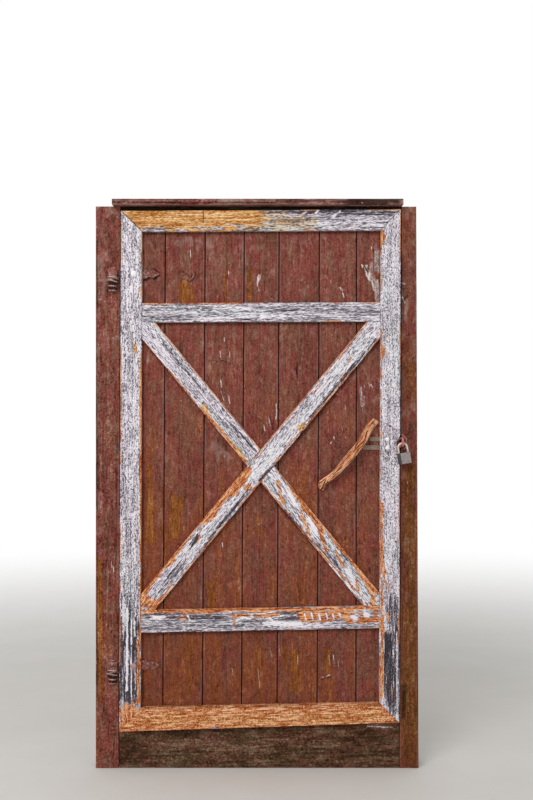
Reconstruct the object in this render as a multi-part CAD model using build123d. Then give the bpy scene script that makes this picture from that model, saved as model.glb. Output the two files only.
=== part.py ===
"""Barn door leaf and its timber frame, in millimetres.

The origin is on the ground, under the middle of the doorway, halfway through the posts.
X runs along the wall, Y runs into the barn and Z is up, so the door's face looks along -Y.
"""

from build123d import *
from collections import namedtuple
import math
import os

# Timber frame
doorway_width = 1004
post_width = 85
post_depth = 95
head_beam_height = 95
tenon_length = 45
tenon_thickness = 30
tenon_shoulder = 20
tenon_clearance = 0.2

# Leaf outline: the old leaf leans, and its foot climbs towards the lock side
leaf_overlap = 22
leaf_height = 1950
leaf_foot_height = 142
leaf_foot_rise = 34
leaf_head_rise = 6
leaf_lean = 6.6
head_clearance = 14
closing_gap = 0.5
edge_gap = 4

# Planks: their shares of the leaf's width from the hinge side; the last plank takes the rest
plank_thickness = 24
plank_shares_foot = (0.154, 0.142, 0.140, 0.128, 0.143, 0.140)
plank_shares_head = (0.158, 0.143, 0.140, 0.125, 0.1445, 0.133)
plank_gap = 3
plank_arris = 2
tongue_thickness = 8
tongue_depth = 7
tongue_clearance = 0.4

# White boards on the planks' face
trim_thickness = 22
trim_arris = 1.5
stile_left_width = 80
stile_right_width = 75.5
top_rail_height = 79
bottom_rail_height_left = 90
bottom_rail_height_right = 78
upper_rail_below_head = 345.5
upper_rail_height = 72.5
upper_rail_rise = 4
lower_rail_above_foot = 369
lower_rail_height = 84
lower_rail_rise = 21
brace_width = 78
brace_under_foot_shift = 11

# Ledges across the back of the planks
ledge_height = 110
ledge_thickness = 28
ledge_end_clearance = 6
ledge_chamfer = 6

# Facing boards on the posts, drip board and sill board
facing_thickness = 23
facing_overhang_left = 31
facing_overhang_right_foot = 9
facing_overhang_right_head = 1
drip_board_thickness = 22
drip_board_projection = 46
drip_board_bearing = 57
drip_board_reach_left = 31
drip_board_reach_right = 7
drip_board_bevel = 7
drip_groove_width = 6
drip_groove_depth = 4
drip_groove_setback = 14
sill_board_recess = 4
sill_board_gap = 8
sill_board_end_gap = 2
sill_cover = 24

# Strap hinges and their pintles
hinge_upper_below_head = 235
hinge_lower_above_foot = 246
hinge_axis_from_leaf = 28
strap_thickness = 6
strap_half_height = 17
strap_seat_clearance = 0.3
finial_waist = 10.5
finial_swell = 15.5
finial_start_from_axis = 125
finial_waist_from_axis = 135
finial_swell_from_axis = 145
finial_tip_from_axis = 174
finial_belly_share = 0.62
eye_wall = 8
pin_radius = 11
pin_clearance = 0.1
pin_rise = 7
pintle_collar_radius = 24
pintle_collar_thickness = 5
pintle_neck_radius = 20
pintle_foot_radius = 14
pintle_neck_height = 38
pintle_spike_width = 16
pintle_spike_depth = 70
pintle_spike_point = 22
hinge_washer_thickness = 4
hinge_washer_radius = 20
seat_gap = 0.3

# Carriage bolts through the stiles
hinge_bolt_from_axis = 79
hinge_bolt_radius = 4
hinge_bolt_head_radius = 11.5
hinge_bolt_head_height = 5.5
hinge_bolt_nut_radius = 7.4
hinge_bolt_nut_height = 6.5
hinge_bolt_washer_radius = 10.5
hasp_bolt_radius = 3
hasp_bolt_head_radius = 8.2
hasp_bolt_head_height = 4.2
hasp_bolt_nut_radius = 5.7
hasp_bolt_nut_height = 5
hasp_bolt_washer_radius = 8
hasp_bolt_from_edge = 48
bolt_hole_clearance = 0.3
bolt_neck_depth = 5
bolt_neck_margin = 0.8
bolt_head_rim = 1
bolt_end = 4
washer_thickness = 2

# Hairpin hasp on the leaf
hasp_above_crossing = 84
hasp_arm_spacing = 31.6
hasp_arm_height = 17
hasp_arm_thickness = 5
hasp_upper_arm_length = 112
hasp_lower_arm_length = 138
hasp_arm_setback = 1
hasp_arm_corner = 4
hasp_rod_setback = 4
hasp_rod_radius = 4.5
hasp_rod_bend = 7
hasp_rod_standoff = 0.7
hasp_eye_from_edge = 7.7
hasp_eye_projection = 44
hasp_eye_height = 27.6
hasp_eye_rise = 6.3

# Worn hollow in the lock stile's edge, round the hasp
notch_depth = 12.7
notch_mouth_top = 34
notch_floor_top = 3
notch_floor_bottom = -28
notch_mouth_bottom = -42

# Bent staple in the lock side's facing board
staple_rod_radius = 2.75
staple_bend = 6
staple_standoff = 14
staple_top = (8.2, 32.6)
staple_bow_top = (23.7, 18.6)
staple_bow_bottom = (23.7, -9.4)
staple_bottom = (14.7, -24.4)
staple_grip = 20
staple_hole_clearance = 0.1

# Padlock
padlock_tilt = 9
padlock_projection = 34
shackle_radius = 4
shackle_bend_radius = 17
shackle_leg = 19
shackle_heel_depth = 27
shackle_toe_depth = 8
shackle_end_chamfer = 1
shackle_hole_clearance = 0.1
shackle_notch_depth = 0.9
shackle_notch_width = 4
shackle_notch_rise = 6
padlock_width = 48
padlock_height = 41
padlock_thickness = 20
padlock_edge = 2.5
cylinder_radius = 7
cylinder_depth = 30
cylinder_recess = 0.5
keyway_width = 2.4
keyway_height = 8
keyway_depth = 18

# Branch handle, in the lock-side triangle of the X. Each station has its share of the way from the
# lock edge to the crossing, its height above the hasp as a share of the X's rise from the crossing,
# its standoff from the planks and its radius.
branch_stations = (
    (0.172, 0.157, 9, 14.5),
    (0.239, 0.076, 27, 16.5),
    (0.271, 0.023, 39, 16.2),
    (0.313, -0.032, 45, 16),
    (0.376, -0.103, 45, 16.2),
    (0.418, -0.153, 40, 15),
    (0.509, -0.239, 24, 13.5),
    (0.567, -0.314, 8, 12.5),
)
branch_seat_gap = 0.2
branch_fork_length = 37
branch_fork_width = 4
branch_fork_offset = 4
branch_screw_radius = 2.4
branch_screw_head_radius = 4.5
branch_screw_head_height = 3
branch_screw_cover = 3
branch_screw_grip = 18
branch_screw_inset = 15

# How far a cut runs past the face it opens on
cut_over = 1

# Values that follow from the sizes above
post_front = -post_depth / 2
post_back = post_depth / 2
plank_back = post_front - closing_gap
plank_face = plank_back - plank_thickness
trim_face = plank_face - trim_thickness
ledge_back = plank_back + ledge_thickness
facing_face = post_front - facing_thickness
leaf_width = doorway_width + 2 * leaf_overlap
leaf_half = leaf_width / 2
frame_height = leaf_foot_height + leaf_height + leaf_head_rise + head_clearance
sill_beam_height = leaf_foot_height + leaf_foot_rise + sill_cover
post_inner = doorway_width / 2
post_outer = post_inner + post_width
eye_radius = pin_radius + pin_clearance + eye_wall
hinge_axis_x = -leaf_half - hinge_axis_from_leaf
hinge_axis_y = plank_face - eye_radius
hinge_heights = (
    leaf_foot_height + leaf_height - hinge_upper_below_head,
    leaf_foot_height + hinge_lower_above_foot,
)


def upright(x_foot, x_head):
    """Line that runs up the leaf, given where it stands at the leaf's foot and head."""
    return ((x_foot, leaf_foot_height), (x_head, leaf_foot_height + leaf_height))


def level(z_left, rise):
    """Line that runs across the leaf, given its height at the hinge edge and its climb."""
    return ((-leaf_half, z_left), (leaf_half, z_left + rise))


def moved(line, dx=0, dz=0):
    """The same line, shifted sideways or up."""
    return tuple((x + dx, z + dz) for x, z in line)


def beside(line, distance):
    """A line parallel to a slanted one, at a square distance to its right."""
    (x0, z0), (x1, z1) = line
    length = math.hypot(x1 - x0, z1 - z0)
    return moved(line, distance * (z1 - z0) / length, -distance * (x1 - x0) / length)


def meet(a, b):
    """The point where two lines cross."""
    (ax, az), (bx, bz) = a
    (cx, cz), (dx, dz) = b
    across = (bx - ax) * (dz - cz) - (bz - az) * (dx - cx)
    share = ((cx - ax) * (dz - cz) - (cz - az) * (dx - cx)) / across
    return (ax + share * (bx - ax), az + share * (bz - az))


def panel(left, right, low, high):
    """The four corners of the board between two uprights and two levels."""
    return [meet(left, low), meet(right, low), meet(right, high), meet(left, high)]


def slab(corners, front, back):
    """A board with this outline in the wall's plane, between two depths."""
    outline = Polyline([(x, front, z) for x, z in corners], close=True)
    return extrude(make_face(outline), amount=back - front, dir=(0, 1, 0))


def ease_front(board, size, count=None):
    """Chamfers the arrises round a board's front face, or only its longest ones."""
    edges = board.faces().group_by(Axis.Y)[0].edges().sort_by(SortBy.LENGTH)
    return chamfer(edges if count is None else edges[-count:], size)


def block(x0, x1, y0, y1, z0, z1):
    """A plain squared piece between two opposite corners."""
    return Pos((x0 + x1) / 2, (y0 + y1) / 2, (z0 + z1) / 2) * Box(x1 - x0, y1 - y0, z1 - z0)


def outward(x, y, z):
    """Place whose own Z axis points out of the door's face."""
    return Pos(x, y, z) * Rot(90, 0, 0)


def rod(points, radius, bend):
    """A round bar bent along straight runs with equal bends."""
    path = FilletPolyline(points, radius=bend)
    return sweep(Plane(path @ 0, z_dir=path % 0) * Circle(radius), path=path)


# Outline of the leaf and of the boards on it
left_edge = upright(-leaf_half - leaf_lean / 2, -leaf_half + leaf_lean / 2)
right_edge = upright(leaf_half - leaf_lean / 2, leaf_half + leaf_lean / 2)
foot_edge = level(leaf_foot_height, leaf_foot_rise)
head_edge = level(leaf_foot_height + leaf_height, leaf_head_rise)
stile_left_inner = moved(left_edge, dx=stile_left_width)
stile_right_inner = moved(right_edge, dx=-stile_right_width)
top_rail_low = moved(head_edge, dz=-top_rail_height)
bottom_rail_top = (
    (-leaf_half, leaf_foot_height + bottom_rail_height_left),
    (leaf_half, leaf_foot_height + leaf_foot_rise + bottom_rail_height_right),
)
upper_rail_top = level(leaf_foot_height + leaf_height - upper_rail_below_head, upper_rail_rise)
upper_rail_low = moved(upper_rail_top, dz=-upper_rail_height)
lower_rail_low = level(leaf_foot_height + lower_rail_above_foot, lower_rail_rise)
lower_rail_top = moved(lower_rail_low, dz=lower_rail_height)
ground = level(0, 0)
frame_top = level(frame_height, 0)


def edge_x(line, z):
    """Where an upright line stands at a height."""
    return meet(line, level(z, 0))[0]


# Centre lines of the X, and where they cross
brace_field = panel(stile_left_inner, stile_right_inner, lower_rail_top, upper_rail_low)
over_line = (brace_field[0], brace_field[2])
under_line = (brace_field[3], (brace_field[1][0] - brace_under_foot_shift, brace_field[1][1]))
crossing_x, crossing_z = meet(over_line, under_line)

# Places round the hasp
hasp_height = crossing_z + hasp_above_crossing
hasp_edge_x = edge_x(right_edge, hasp_height)
hasp_arm_heights = (hasp_height + hasp_arm_spacing / 2, hasp_height - hasp_arm_spacing / 2)
hasp_arm_lengths = (hasp_upper_arm_length, hasp_lower_arm_length)
hasp_bolt_x = hasp_edge_x - hasp_bolt_from_edge
hinge_bolt_x = hinge_axis_x + hinge_bolt_from_axis

BoltSize = namedtuple("BoltSize", "radius head_radius head_height nut_radius nut_height washer_radius")
hinge_bolt_size = BoltSize(
    hinge_bolt_radius,
    hinge_bolt_head_radius,
    hinge_bolt_head_height,
    hinge_bolt_nut_radius,
    hinge_bolt_nut_height,
    hinge_bolt_washer_radius,
)
hasp_bolt_size = BoltSize(
    hasp_bolt_radius,
    hasp_bolt_head_radius,
    hasp_bolt_head_height,
    hasp_bolt_nut_radius,
    hasp_bolt_nut_height,
    hasp_bolt_washer_radius,
)


def bolt(x, z, size):
    """Carriage bolt from the stile's face through the ledge, with a domed head and a square neck."""
    grip = ledge_back - trim_face
    end = grip + washer_thickness + size.nut_height + bolt_end
    rise = size.head_height - bolt_head_rim
    dome_radius = (size.head_radius**2 + rise**2) / (2 * rise)
    dome = Pos(0, 0, size.head_height - dome_radius) * Sphere(dome_radius)
    head = dome & Pos(0, 0, size.head_height / 2) * Cylinder(size.head_radius, size.head_height)
    neck_width = 2 * (size.radius + bolt_neck_margin)
    neck = Pos(0, 0, -bolt_neck_depth / 2) * Box(neck_width, neck_width, bolt_neck_depth)
    shank = Pos(0, 0, -end / 2) * Cylinder(size.radius, end)
    shank = chamfer(shank.edges().group_by(Axis.Z)[0], size.radius / 5)
    return outward(x, trim_face, z) * (head + neck + shank)


def bolt_hole(x, z, radius):
    """Room for a carriage bolt's neck and shank."""
    bore = radius + bolt_hole_clearance
    through = 2 * (ledge_back - trim_face)
    neck_width = 2 * (bore + bolt_neck_margin)
    neck = Box(neck_width, neck_width, 2 * bolt_neck_depth)
    return outward(x, trim_face, z) * (neck + Cylinder(bore, through))


def nut_and_washer(x, z, size):
    """Hexagon nut and the round washer under it, on the ledge's back."""
    bore = size.radius + bolt_hole_clearance / 2
    washer = Cylinder(size.washer_radius, washer_thickness) - Cylinder(bore, washer_thickness)
    nut = extrude(RegularPolygon(size.nut_radius, 6), amount=size.nut_height)
    nut -= Cylinder(bore, 3 * size.nut_height)
    washer = outward(x, ledge_back + washer_thickness / 2, z) * washer
    nut = outward(x, ledge_back + washer_thickness + size.nut_height, z) * nut
    return Compound([washer.solid(), nut.solid()])


hinge_bolt_places = [(hinge_bolt_x, z) for z in hinge_heights]
hasp_bolt_places = [(hasp_bolt_x, z) for z in hasp_arm_heights]
bolt_holes = [bolt_hole(x, z, hinge_bolt_radius) for x, z in hinge_bolt_places]
bolt_holes += [bolt_hole(x, z, hasp_bolt_radius) for x, z in hasp_bolt_places]


def bored(board):
    """A board of the leaf with the holes of the bolts that pass through it."""
    box = board.bounding_box()
    for hole in bolt_holes:
        place = hole.bounding_box()
        apart = place.min.X > box.max.X or place.max.X < box.min.X
        if not (apart or place.min.Z > box.max.Z or place.max.Z < box.min.Z):
            board -= hole
    return board


def planks():
    """The leaf's upright planks, tongued on their lock side and grooved on their hinge side."""
    joints = []
    foot_x, head_x = left_edge[0][0], left_edge[1][0]
    for foot_share, head_share in zip(plank_shares_foot, plank_shares_head):
        foot_x += foot_share * leaf_width
        head_x += head_share * leaf_width
        joints.append(upright(foot_x, head_x))
    middle = (plank_face + plank_back) / 2
    tongue_front = middle - tongue_thickness / 2
    tongue_back = middle + tongue_thickness / 2
    pieces = []
    for index in range(len(joints) + 1):
        first, last = index == 0, index == len(joints)
        left = left_edge if first else moved(joints[index - 1], dx=plank_gap / 2)
        right = right_edge if last else moved(joints[index], dx=-plank_gap / 2)
        plank = ease_front(
            slab(panel(left, right, foot_edge, head_edge), plank_face, plank_back), plank_arris, 2
        )
        if not last:
            reach = moved(right, dx=plank_gap + tongue_depth)
            corners = panel(moved(right, dx=-cut_over), reach, foot_edge, head_edge)
            plank += slab(corners, tongue_front, tongue_back)
        if not first:
            floor = moved(left, dx=tongue_depth + tongue_clearance)
            low, high = moved(foot_edge, dz=-cut_over), moved(head_edge, dz=cut_over)
            corners = panel(moved(left, dx=-cut_over), floor, low, high)
            plank -= slab(corners, tongue_front - tongue_clearance, tongue_back + tongue_clearance)
        pieces.append(bored(plank))
    return pieces


def strap_grooves():
    """Shallow housings in the stiles' backs for the hinge straps and the hasp's arms."""
    grooves = []
    floor = plank_face - strap_thickness - strap_seat_clearance
    half = strap_half_height + strap_seat_clearance
    for z in hinge_heights:
        grooves.append(block(hinge_axis_x, 0, floor, plank_face + cut_over, z - half, z + half))
    floor = plank_face - hasp_arm_thickness - strap_seat_clearance
    half = hasp_arm_height / 2 + strap_seat_clearance
    for z in hasp_arm_heights:
        grooves.append(block(0, hasp_edge_x + leaf_lean, floor, plank_face + cut_over, z - half, z + half))
    return grooves


def stiles():
    """The upright boards at the leaf's two edges, mitred at head and foot."""
    grooves = strap_grooves()
    left = slab(
        [
            meet(left_edge, foot_edge),
            meet(stile_left_inner, bottom_rail_top),
            meet(stile_left_inner, top_rail_low),
            meet(left_edge, head_edge),
        ],
        trim_face,
        plank_face,
    )
    notch_floor = hasp_edge_x - notch_depth
    notch_mouth = hasp_edge_x + leaf_lean
    right = slab(
        [
            meet(right_edge, foot_edge),
            meet(right_edge, head_edge),
            meet(stile_right_inner, top_rail_low),
            meet(stile_right_inner, bottom_rail_top),
        ],
        trim_face,
        plank_face,
    )
    notch = slab(
        [
            (notch_mouth, hasp_height + notch_mouth_bottom),
            (notch_mouth, hasp_height + notch_mouth_top),
            (hasp_edge_x, hasp_height + notch_mouth_top),
            (notch_floor, hasp_height + notch_floor_top),
            (notch_floor, hasp_height + notch_floor_bottom),
            (hasp_edge_x, hasp_height + notch_mouth_bottom),
        ],
        trim_face - cut_over,
        plank_face + cut_over,
    )
    left = ease_front(left, trim_arris)
    right = ease_front(right, trim_arris) - notch
    for groove in grooves:
        left -= groove
        right -= groove
    return bored(left), bored(right)


def rails():
    """The level boards, from the head down: the outer two are mitred, the inner two butt."""
    top = [
        meet(left_edge, head_edge),
        meet(stile_left_inner, top_rail_low),
        meet(stile_right_inner, top_rail_low),
        meet(right_edge, head_edge),
    ]
    upper = panel(stile_left_inner, stile_right_inner, upper_rail_low, upper_rail_top)
    lower = panel(stile_left_inner, stile_right_inner, lower_rail_low, lower_rail_top)
    bottom = [
        meet(left_edge, foot_edge),
        meet(right_edge, foot_edge),
        meet(stile_right_inner, bottom_rail_top),
        meet(stile_left_inner, bottom_rail_top),
    ]
    return [
        ease_front(slab(corners, trim_face, plank_face), trim_arris)
        for corners in (top, upper, lower, bottom)
    ]


def braces():
    """The X: one brace from corner to corner, and a crossing one in two halves that butt on it."""
    field_slab = slab(brace_field, trim_face, plank_face)

    def strip(line):
        """A board along a line, long enough to be cut off by what it meets."""
        sides = beside(line, -brace_width / 2), beside(line, brace_width / 2)
        (ax, az), (bx, bz) = line
        dx, dz = (bx - ax) / 4, (bz - az) / 4
        corners = [
            (sides[0][0][0] - dx, sides[0][0][1] - dz),
            (sides[0][1][0] + dx, sides[0][1][1] + dz),
            (sides[1][1][0] + dx, sides[1][1][1] + dz),
            (sides[1][0][0] - dx, sides[1][0][1] - dz),
        ]
        return slab(corners, trim_face, plank_face)

    over_strip = strip(over_line)
    over = ease_front(over_strip & field_slab, trim_arris)
    halves = ease_front((strip(under_line) & field_slab) - over_strip, trim_arris)
    lower, upper = halves.solids().sort_by(Axis.Z)
    return over, upper, lower


def ledges():
    """Boards across the back of the planks, between the posts, behind the hinges and the hasp."""
    reach = post_inner - ledge_end_clearance
    pieces = []
    for z in (hinge_heights[0], hasp_height, hinge_heights[1]):
        ledge = block(-reach, reach, plank_back, ledge_back, z - ledge_height / 2, z + ledge_height / 2)
        back = ledge.faces().sort_by(Axis.Y)[-1]
        pieces.append(bored(chamfer(back.edges(), ledge_chamfer)))
    return pieces


def hinge_strap(z):
    """Forged strap with a rolled eye at its outer end and a spear-shaped inner end."""
    start = hinge_axis_x + finial_start_from_axis
    waist = hinge_axis_x + finial_waist_from_axis
    swell = hinge_axis_x + finial_swell_from_axis
    tip = hinge_axis_x + finial_tip_from_axis
    belly = (swell + tip) / 2
    front = plank_face - strap_thickness

    def at(x, dz):
        return (x, front, z + dz)

    outline = [Line(at(hinge_axis_x, -strap_half_height), at(hinge_axis_x, strap_half_height))]
    for side in (1, -1):
        edge, neck, bulge = side * strap_half_height, side * finial_waist, side * finial_swell
        outline.append(Line(at(hinge_axis_x, edge), at(start, edge)))
        outline.append(ThreePointArc(at(start, edge), at(waist, neck), at(swell, bulge)))
        outline.append(ThreePointArc(at(swell, bulge), at(belly, bulge * finial_belly_share), at(tip, 0)))
    strap = extrude(make_face(outline), amount=strap_thickness, dir=(0, 1, 0))
    height = 2 * strap_half_height
    place = Pos(hinge_axis_x, hinge_axis_y, z)
    eye = place * Cylinder(eye_radius, height)
    bore = place * Cylinder(pin_radius + pin_clearance, 2 * height)
    hole = outward(hinge_bolt_x, plank_face, z)
    hole *= Cylinder(hinge_bolt_radius + bolt_hole_clearance, 4 * strap_thickness)
    return strap + eye - bore - hole


def pintle(z):
    """Forged pintle: pin and collar on a tapered neck, with a spike that is driven into the post."""
    eye_foot = z - strap_half_height - seat_gap
    collar_top = eye_foot - hinge_washer_thickness - seat_gap
    collar_foot = collar_top - pintle_collar_thickness
    neck_foot = collar_foot - pintle_neck_height
    pin_top = z + strap_half_height + pin_rise
    axis = Pos(hinge_axis_x, hinge_axis_y, 0)
    pin = Pos(0, 0, (collar_top + pin_top) / 2) * Cylinder(pin_radius, pin_top - collar_top)
    pin = chamfer(pin.edges().group_by(Axis.Z)[-1], pin_radius / 5)
    collar = Pos(0, 0, collar_top - pintle_collar_thickness / 2)
    collar *= Cylinder(pintle_collar_radius, pintle_collar_thickness)
    neck = Pos(0, 0, collar_foot - pintle_neck_height / 2)
    neck *= Cone(pintle_foot_radius, pintle_neck_radius, pintle_neck_height)
    half = pintle_spike_width / 2
    spike_z = (collar_foot + neck_foot) / 2
    shoulder = block(
        hinge_axis_x - pintle_foot_radius,
        hinge_axis_x + pintle_foot_radius,
        hinge_axis_y,
        facing_face,
        neck_foot,
        collar_top,
    )
    bar = block(
        hinge_axis_x - half,
        hinge_axis_x + half,
        facing_face,
        post_front + pintle_spike_depth - pintle_spike_point,
        spike_z - half,
        spike_z + half,
    )
    root = bar.faces().sort_by(Axis.Y)[-1]
    point = loft(
        [
            root,
            Plane(
                (hinge_axis_x, post_front + pintle_spike_depth, spike_z), z_dir=(0, 1, 0)
            ) * Rectangle(half / 2, half / 2),
        ]
    )
    hole = block(
        hinge_axis_x - half,
        hinge_axis_x + half,
        facing_face - cut_over,
        post_front + pintle_spike_depth,
        spike_z - half,
        spike_z + half,
    )
    behind = block(-pintle_collar_radius, pintle_collar_radius, 0, post_depth, collar_foot, collar_top)
    collar -= Pos(0, facing_face - hinge_axis_y, 0) * behind
    return axis * (pin + collar + neck) + shoulder + bar + point, hole


def hinge_washer(z):
    """Loose ring that the hinge eye turns on."""
    place = Pos(hinge_axis_x, hinge_axis_y, z - strap_half_height - seat_gap - hinge_washer_thickness / 2)
    ring = Cylinder(hinge_washer_radius, hinge_washer_thickness)
    return place * (ring - Cylinder(pin_radius + bolt_hole_clearance, hinge_washer_thickness))


def hasp():
    """Hairpin hasp: two flat arms on the planks, drawn into a round rod that forms the eye."""
    rod_y = plank_face - hasp_rod_radius - hasp_rod_standoff
    eye_y = plank_face - hasp_eye_projection
    eye_x = hasp_edge_x + hasp_eye_from_edge
    rod_start = hasp_edge_x - hasp_rod_setback
    eye_middle = hasp_height + hasp_eye_rise
    eye_top = eye_middle + hasp_eye_height / 2
    eye_low = eye_middle - hasp_eye_height / 2
    piece = rod(
        [
            (rod_start, rod_y, hasp_arm_heights[0]),
            (eye_x, rod_y, eye_top),
            (eye_x, eye_y, eye_top),
            (eye_x, eye_y, eye_low),
            (eye_x, rod_y, eye_low),
            (rod_start, rod_y, hasp_arm_heights[1]),
        ],
        hasp_rod_radius,
        hasp_rod_bend,
    )
    half = hasp_arm_height / 2
    for z, length in zip(hasp_arm_heights, hasp_arm_lengths):
        end = hasp_edge_x - hasp_arm_setback
        arm = block(end - length, end, plank_face - hasp_arm_thickness, plank_face, z - half, z + half)
        arm = fillet(arm.edges().filter_by(Axis.Y), hasp_arm_corner)
        hole = outward(hasp_bolt_x, plank_face, z)
        hole *= Cylinder(hasp_bolt_radius + bolt_hole_clearance, 4 * hasp_arm_thickness)
        piece += arm - hole
    return piece


def staple_path():
    """The bent staple's line: into the post, round its bow and into the post again."""
    bow_y = facing_face - staple_standoff
    deep_y = post_front + staple_grip
    top, bow_top, bow_bottom, bottom = (
        (hasp_edge_x + dx, hasp_height + dz)
        for dx, dz in (staple_top, staple_bow_top, staple_bow_bottom, staple_bottom)
    )
    return [
        (top[0], deep_y, top[1]),
        (top[0], bow_y, top[1]),
        (bow_top[0], bow_y, bow_top[1]),
        (bow_bottom[0], bow_y, bow_bottom[1]),
        (bottom[0], bow_y, bottom[1]),
        (bottom[0], deep_y, bottom[1]),
    ]


def staple_holes():
    """The two holes that the staple's ends are driven into."""
    path = staple_path()
    holes = []
    for x, y, z in (path[0], path[-1]):
        long = 2 * (y - facing_face)
        bore = Cylinder(staple_rod_radius + staple_hole_clearance, long)
        holes.append(outward(x, y - long / 2, z) * bore)
    return holes


def padlock_place():
    """Where the padlock hangs on the hasp's eye: the centre of its shackle's bend, tilted."""
    eye_low = hasp_height + hasp_eye_rise - hasp_eye_height / 2
    crown_inside = eye_low + hasp_rod_radius + seat_gap
    bend_z = crown_inside + shackle_radius - shackle_bend_radius
    place = Pos(hasp_edge_x + hasp_eye_from_edge, plank_face - padlock_projection, bend_z)
    return place * Rot(0, -padlock_tilt, 0)


def shackle(clearance=0.0):
    """The padlock's bow in its own frame, or with a clearance the room that it takes."""
    radius = shackle_radius + clearance
    ring = Plane.XY * Pos(shackle_bend_radius, 0) * Circle(radius)
    bow = revolve(ring, Axis((0, 0, 0), (0, -1, 0)), revolution_arc=180)
    legs = []
    for side, depth in ((-1, shackle_heel_depth), (1, shackle_toe_depth)):
        length = shackle_leg + depth
        leg = Pos(side * shackle_bend_radius, 0, -length / 2) * Cylinder(radius, length)
        legs.append(leg)
    if not clearance:
        legs = [chamfer(leg.edges().group_by(Axis.Z)[0], shackle_end_chamfer) for leg in legs]
    piece = bow + legs[0] + legs[1]
    if not clearance:
        notch_z = shackle_notch_rise - shackle_leg - shackle_heel_depth
        ring = Cylinder(radius + cut_over, shackle_notch_width)
        ring -= Cylinder(radius - shackle_notch_depth, shackle_notch_width)
        piece -= Pos(-shackle_bend_radius, 0, notch_z) * ring
    return piece


def padlock_body():
    """The padlock's case in its own frame, bored for the shackle's legs and the key cylinder."""
    middle = -shackle_leg - padlock_height / 2
    case = Pos(0, 0, middle) * Box(padlock_width, padlock_thickness, padlock_height)
    case = fillet(case.edges(), padlock_edge)
    case -= shackle(shackle_hole_clearance)
    foot = -shackle_leg - padlock_height
    bore = Cylinder(cylinder_radius + shackle_hole_clearance, 2 * cylinder_depth)
    return case - Pos(0, 0, foot) * bore


def key_cylinder():
    """The padlock's key cylinder, with the keyway open at the foot of the case."""
    foot = -shackle_leg - padlock_height
    plug = Pos(0, 0, foot + cylinder_depth / 2)
    plug *= Cylinder(cylinder_radius, cylinder_depth - 2 * cylinder_recess)
    return plug - Pos(0, 0, foot + keyway_depth / 2) * Box(keyway_width, keyway_height, keyway_depth)


def branch_points():
    """Stations along the branch: centre and radius, from the upper end down."""
    run = hasp_edge_x - crossing_x
    rise = over_line[1][1] - crossing_z
    return [
        (Vector(hasp_edge_x - across * run, plank_face - standoff, hasp_height + up * rise), radius)
        for across, up, standoff, radius in branch_stations
    ]


def branch_screw_places():
    """Points on the planks' face under the branch's screws, with the depth of wood to each head."""
    points = branch_points()
    places = []
    for end, inner, aside in ((points[0], points[1], 0), (points[-1], points[-2], -branch_fork_offset)):
        run = (inner[0] - end[0]).normalized()
        centre = end[0] + run * branch_screw_inset
        side = Vector(-run.Z, 0, run.X).normalized() * aside
        cover = plank_face - centre.Y + end[1] - branch_screw_cover - branch_screw_head_height
        places.append((outward(centre.X + side.X, plank_face, centre.Z + side.Z), cover))
    return places


def branch_handle():
    """The barked branch, bowed away from the planks, seated on them at both ends and forked below."""
    points = branch_points()
    sections = []
    for index, (centre, radius) in enumerate(points):
        before = points[max(index - 1, 0)][0]
        after = points[min(index + 1, len(points) - 1)][0]
        sections.append(Plane(centre, z_dir=after - before) * Circle(radius))
    branch = loft(sections)
    upper, lower = points[0][0], points[-1][0]
    seat = plank_face - branch_seat_gap
    spare = 4 * points[0][1]
    branch -= block(lower.X - spare, upper.X + spare, seat, seat + spare, lower.Z - spare, upper.Z + spare)
    along = (lower - points[-2][0]).normalized()
    side = Vector(-along.Z, 0, along.X).normalized() * branch_fork_offset
    slit = Box(2 * branch_fork_length, spare, branch_fork_width)
    turn = math.degrees(math.atan2(-along.Z, along.X))
    branch -= Pos(lower.X + side.X, lower.Y, lower.Z + side.Z) * Rot(0, turn, 0) * slit
    for place, cover in branch_screw_places():
        branch -= place * Cylinder(branch_screw_radius + bolt_hole_clearance, 2 * spare)
        well = Cylinder(branch_screw_head_radius + bolt_hole_clearance, spare)
        branch -= place * Pos(0, 0, cover + spare / 2) * well
    return branch


def branch_screws():
    """Two screws that hold the branch's ends to the planks."""
    screws = []
    for place, cover in branch_screw_places():
        length = cover + branch_screw_grip
        shank = Pos(0, 0, cover - length / 2) * Cylinder(branch_screw_radius, length)
        head = Pos(0, 0, cover + branch_screw_head_height / 2)
        head *= Cylinder(branch_screw_head_radius, branch_screw_head_height)
        screws.append(place * (shank + head))
    return screws


def branch_screw_holes():
    """Pilot holes in the planks under the branch."""
    long = 2 * (branch_screw_grip + branch_seat_gap)
    return [place * Cylinder(branch_screw_radius, long) for place, cover in branch_screw_places()]


def tenon(side, low, high):
    """The stub of a beam's end that goes into a post: side is -1 at the left and 1 at the right."""
    start, end = side * post_inner, side * (post_inner + tenon_length)
    half = tenon_thickness / 2
    return block(min(start, end), max(start, end), -half, half, low, high)


def beam(low, high):
    """A level timber between the posts, with a shouldered tenon at each end."""
    body = block(-post_inner, post_inner, post_front, post_back, low, high)
    for side in (-1, 1):
        body += tenon(side, low + tenon_shoulder, high - tenon_shoulder)
    return body


def posts():
    """The two upright timbers, mortised for the beams and holed for what is driven into them."""
    beams = ((0, sill_beam_height), (frame_height - head_beam_height, frame_height))
    pieces = []
    for side in (-1, 1):
        near, far = side * post_inner, side * post_outer
        post = block(min(near, far), max(near, far), post_front, post_back, 0, frame_height)
        half = tenon_thickness / 2 + tenon_clearance
        end = side * (post_inner + tenon_length + tenon_clearance)
        for low, high in beams:
            post -= block(
                min(near, end),
                max(near, end),
                -half,
                half,
                low + tenon_shoulder - tenon_clearance,
                high - tenon_shoulder + tenon_clearance,
            )
        pieces.append(post)
    return pieces


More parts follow.
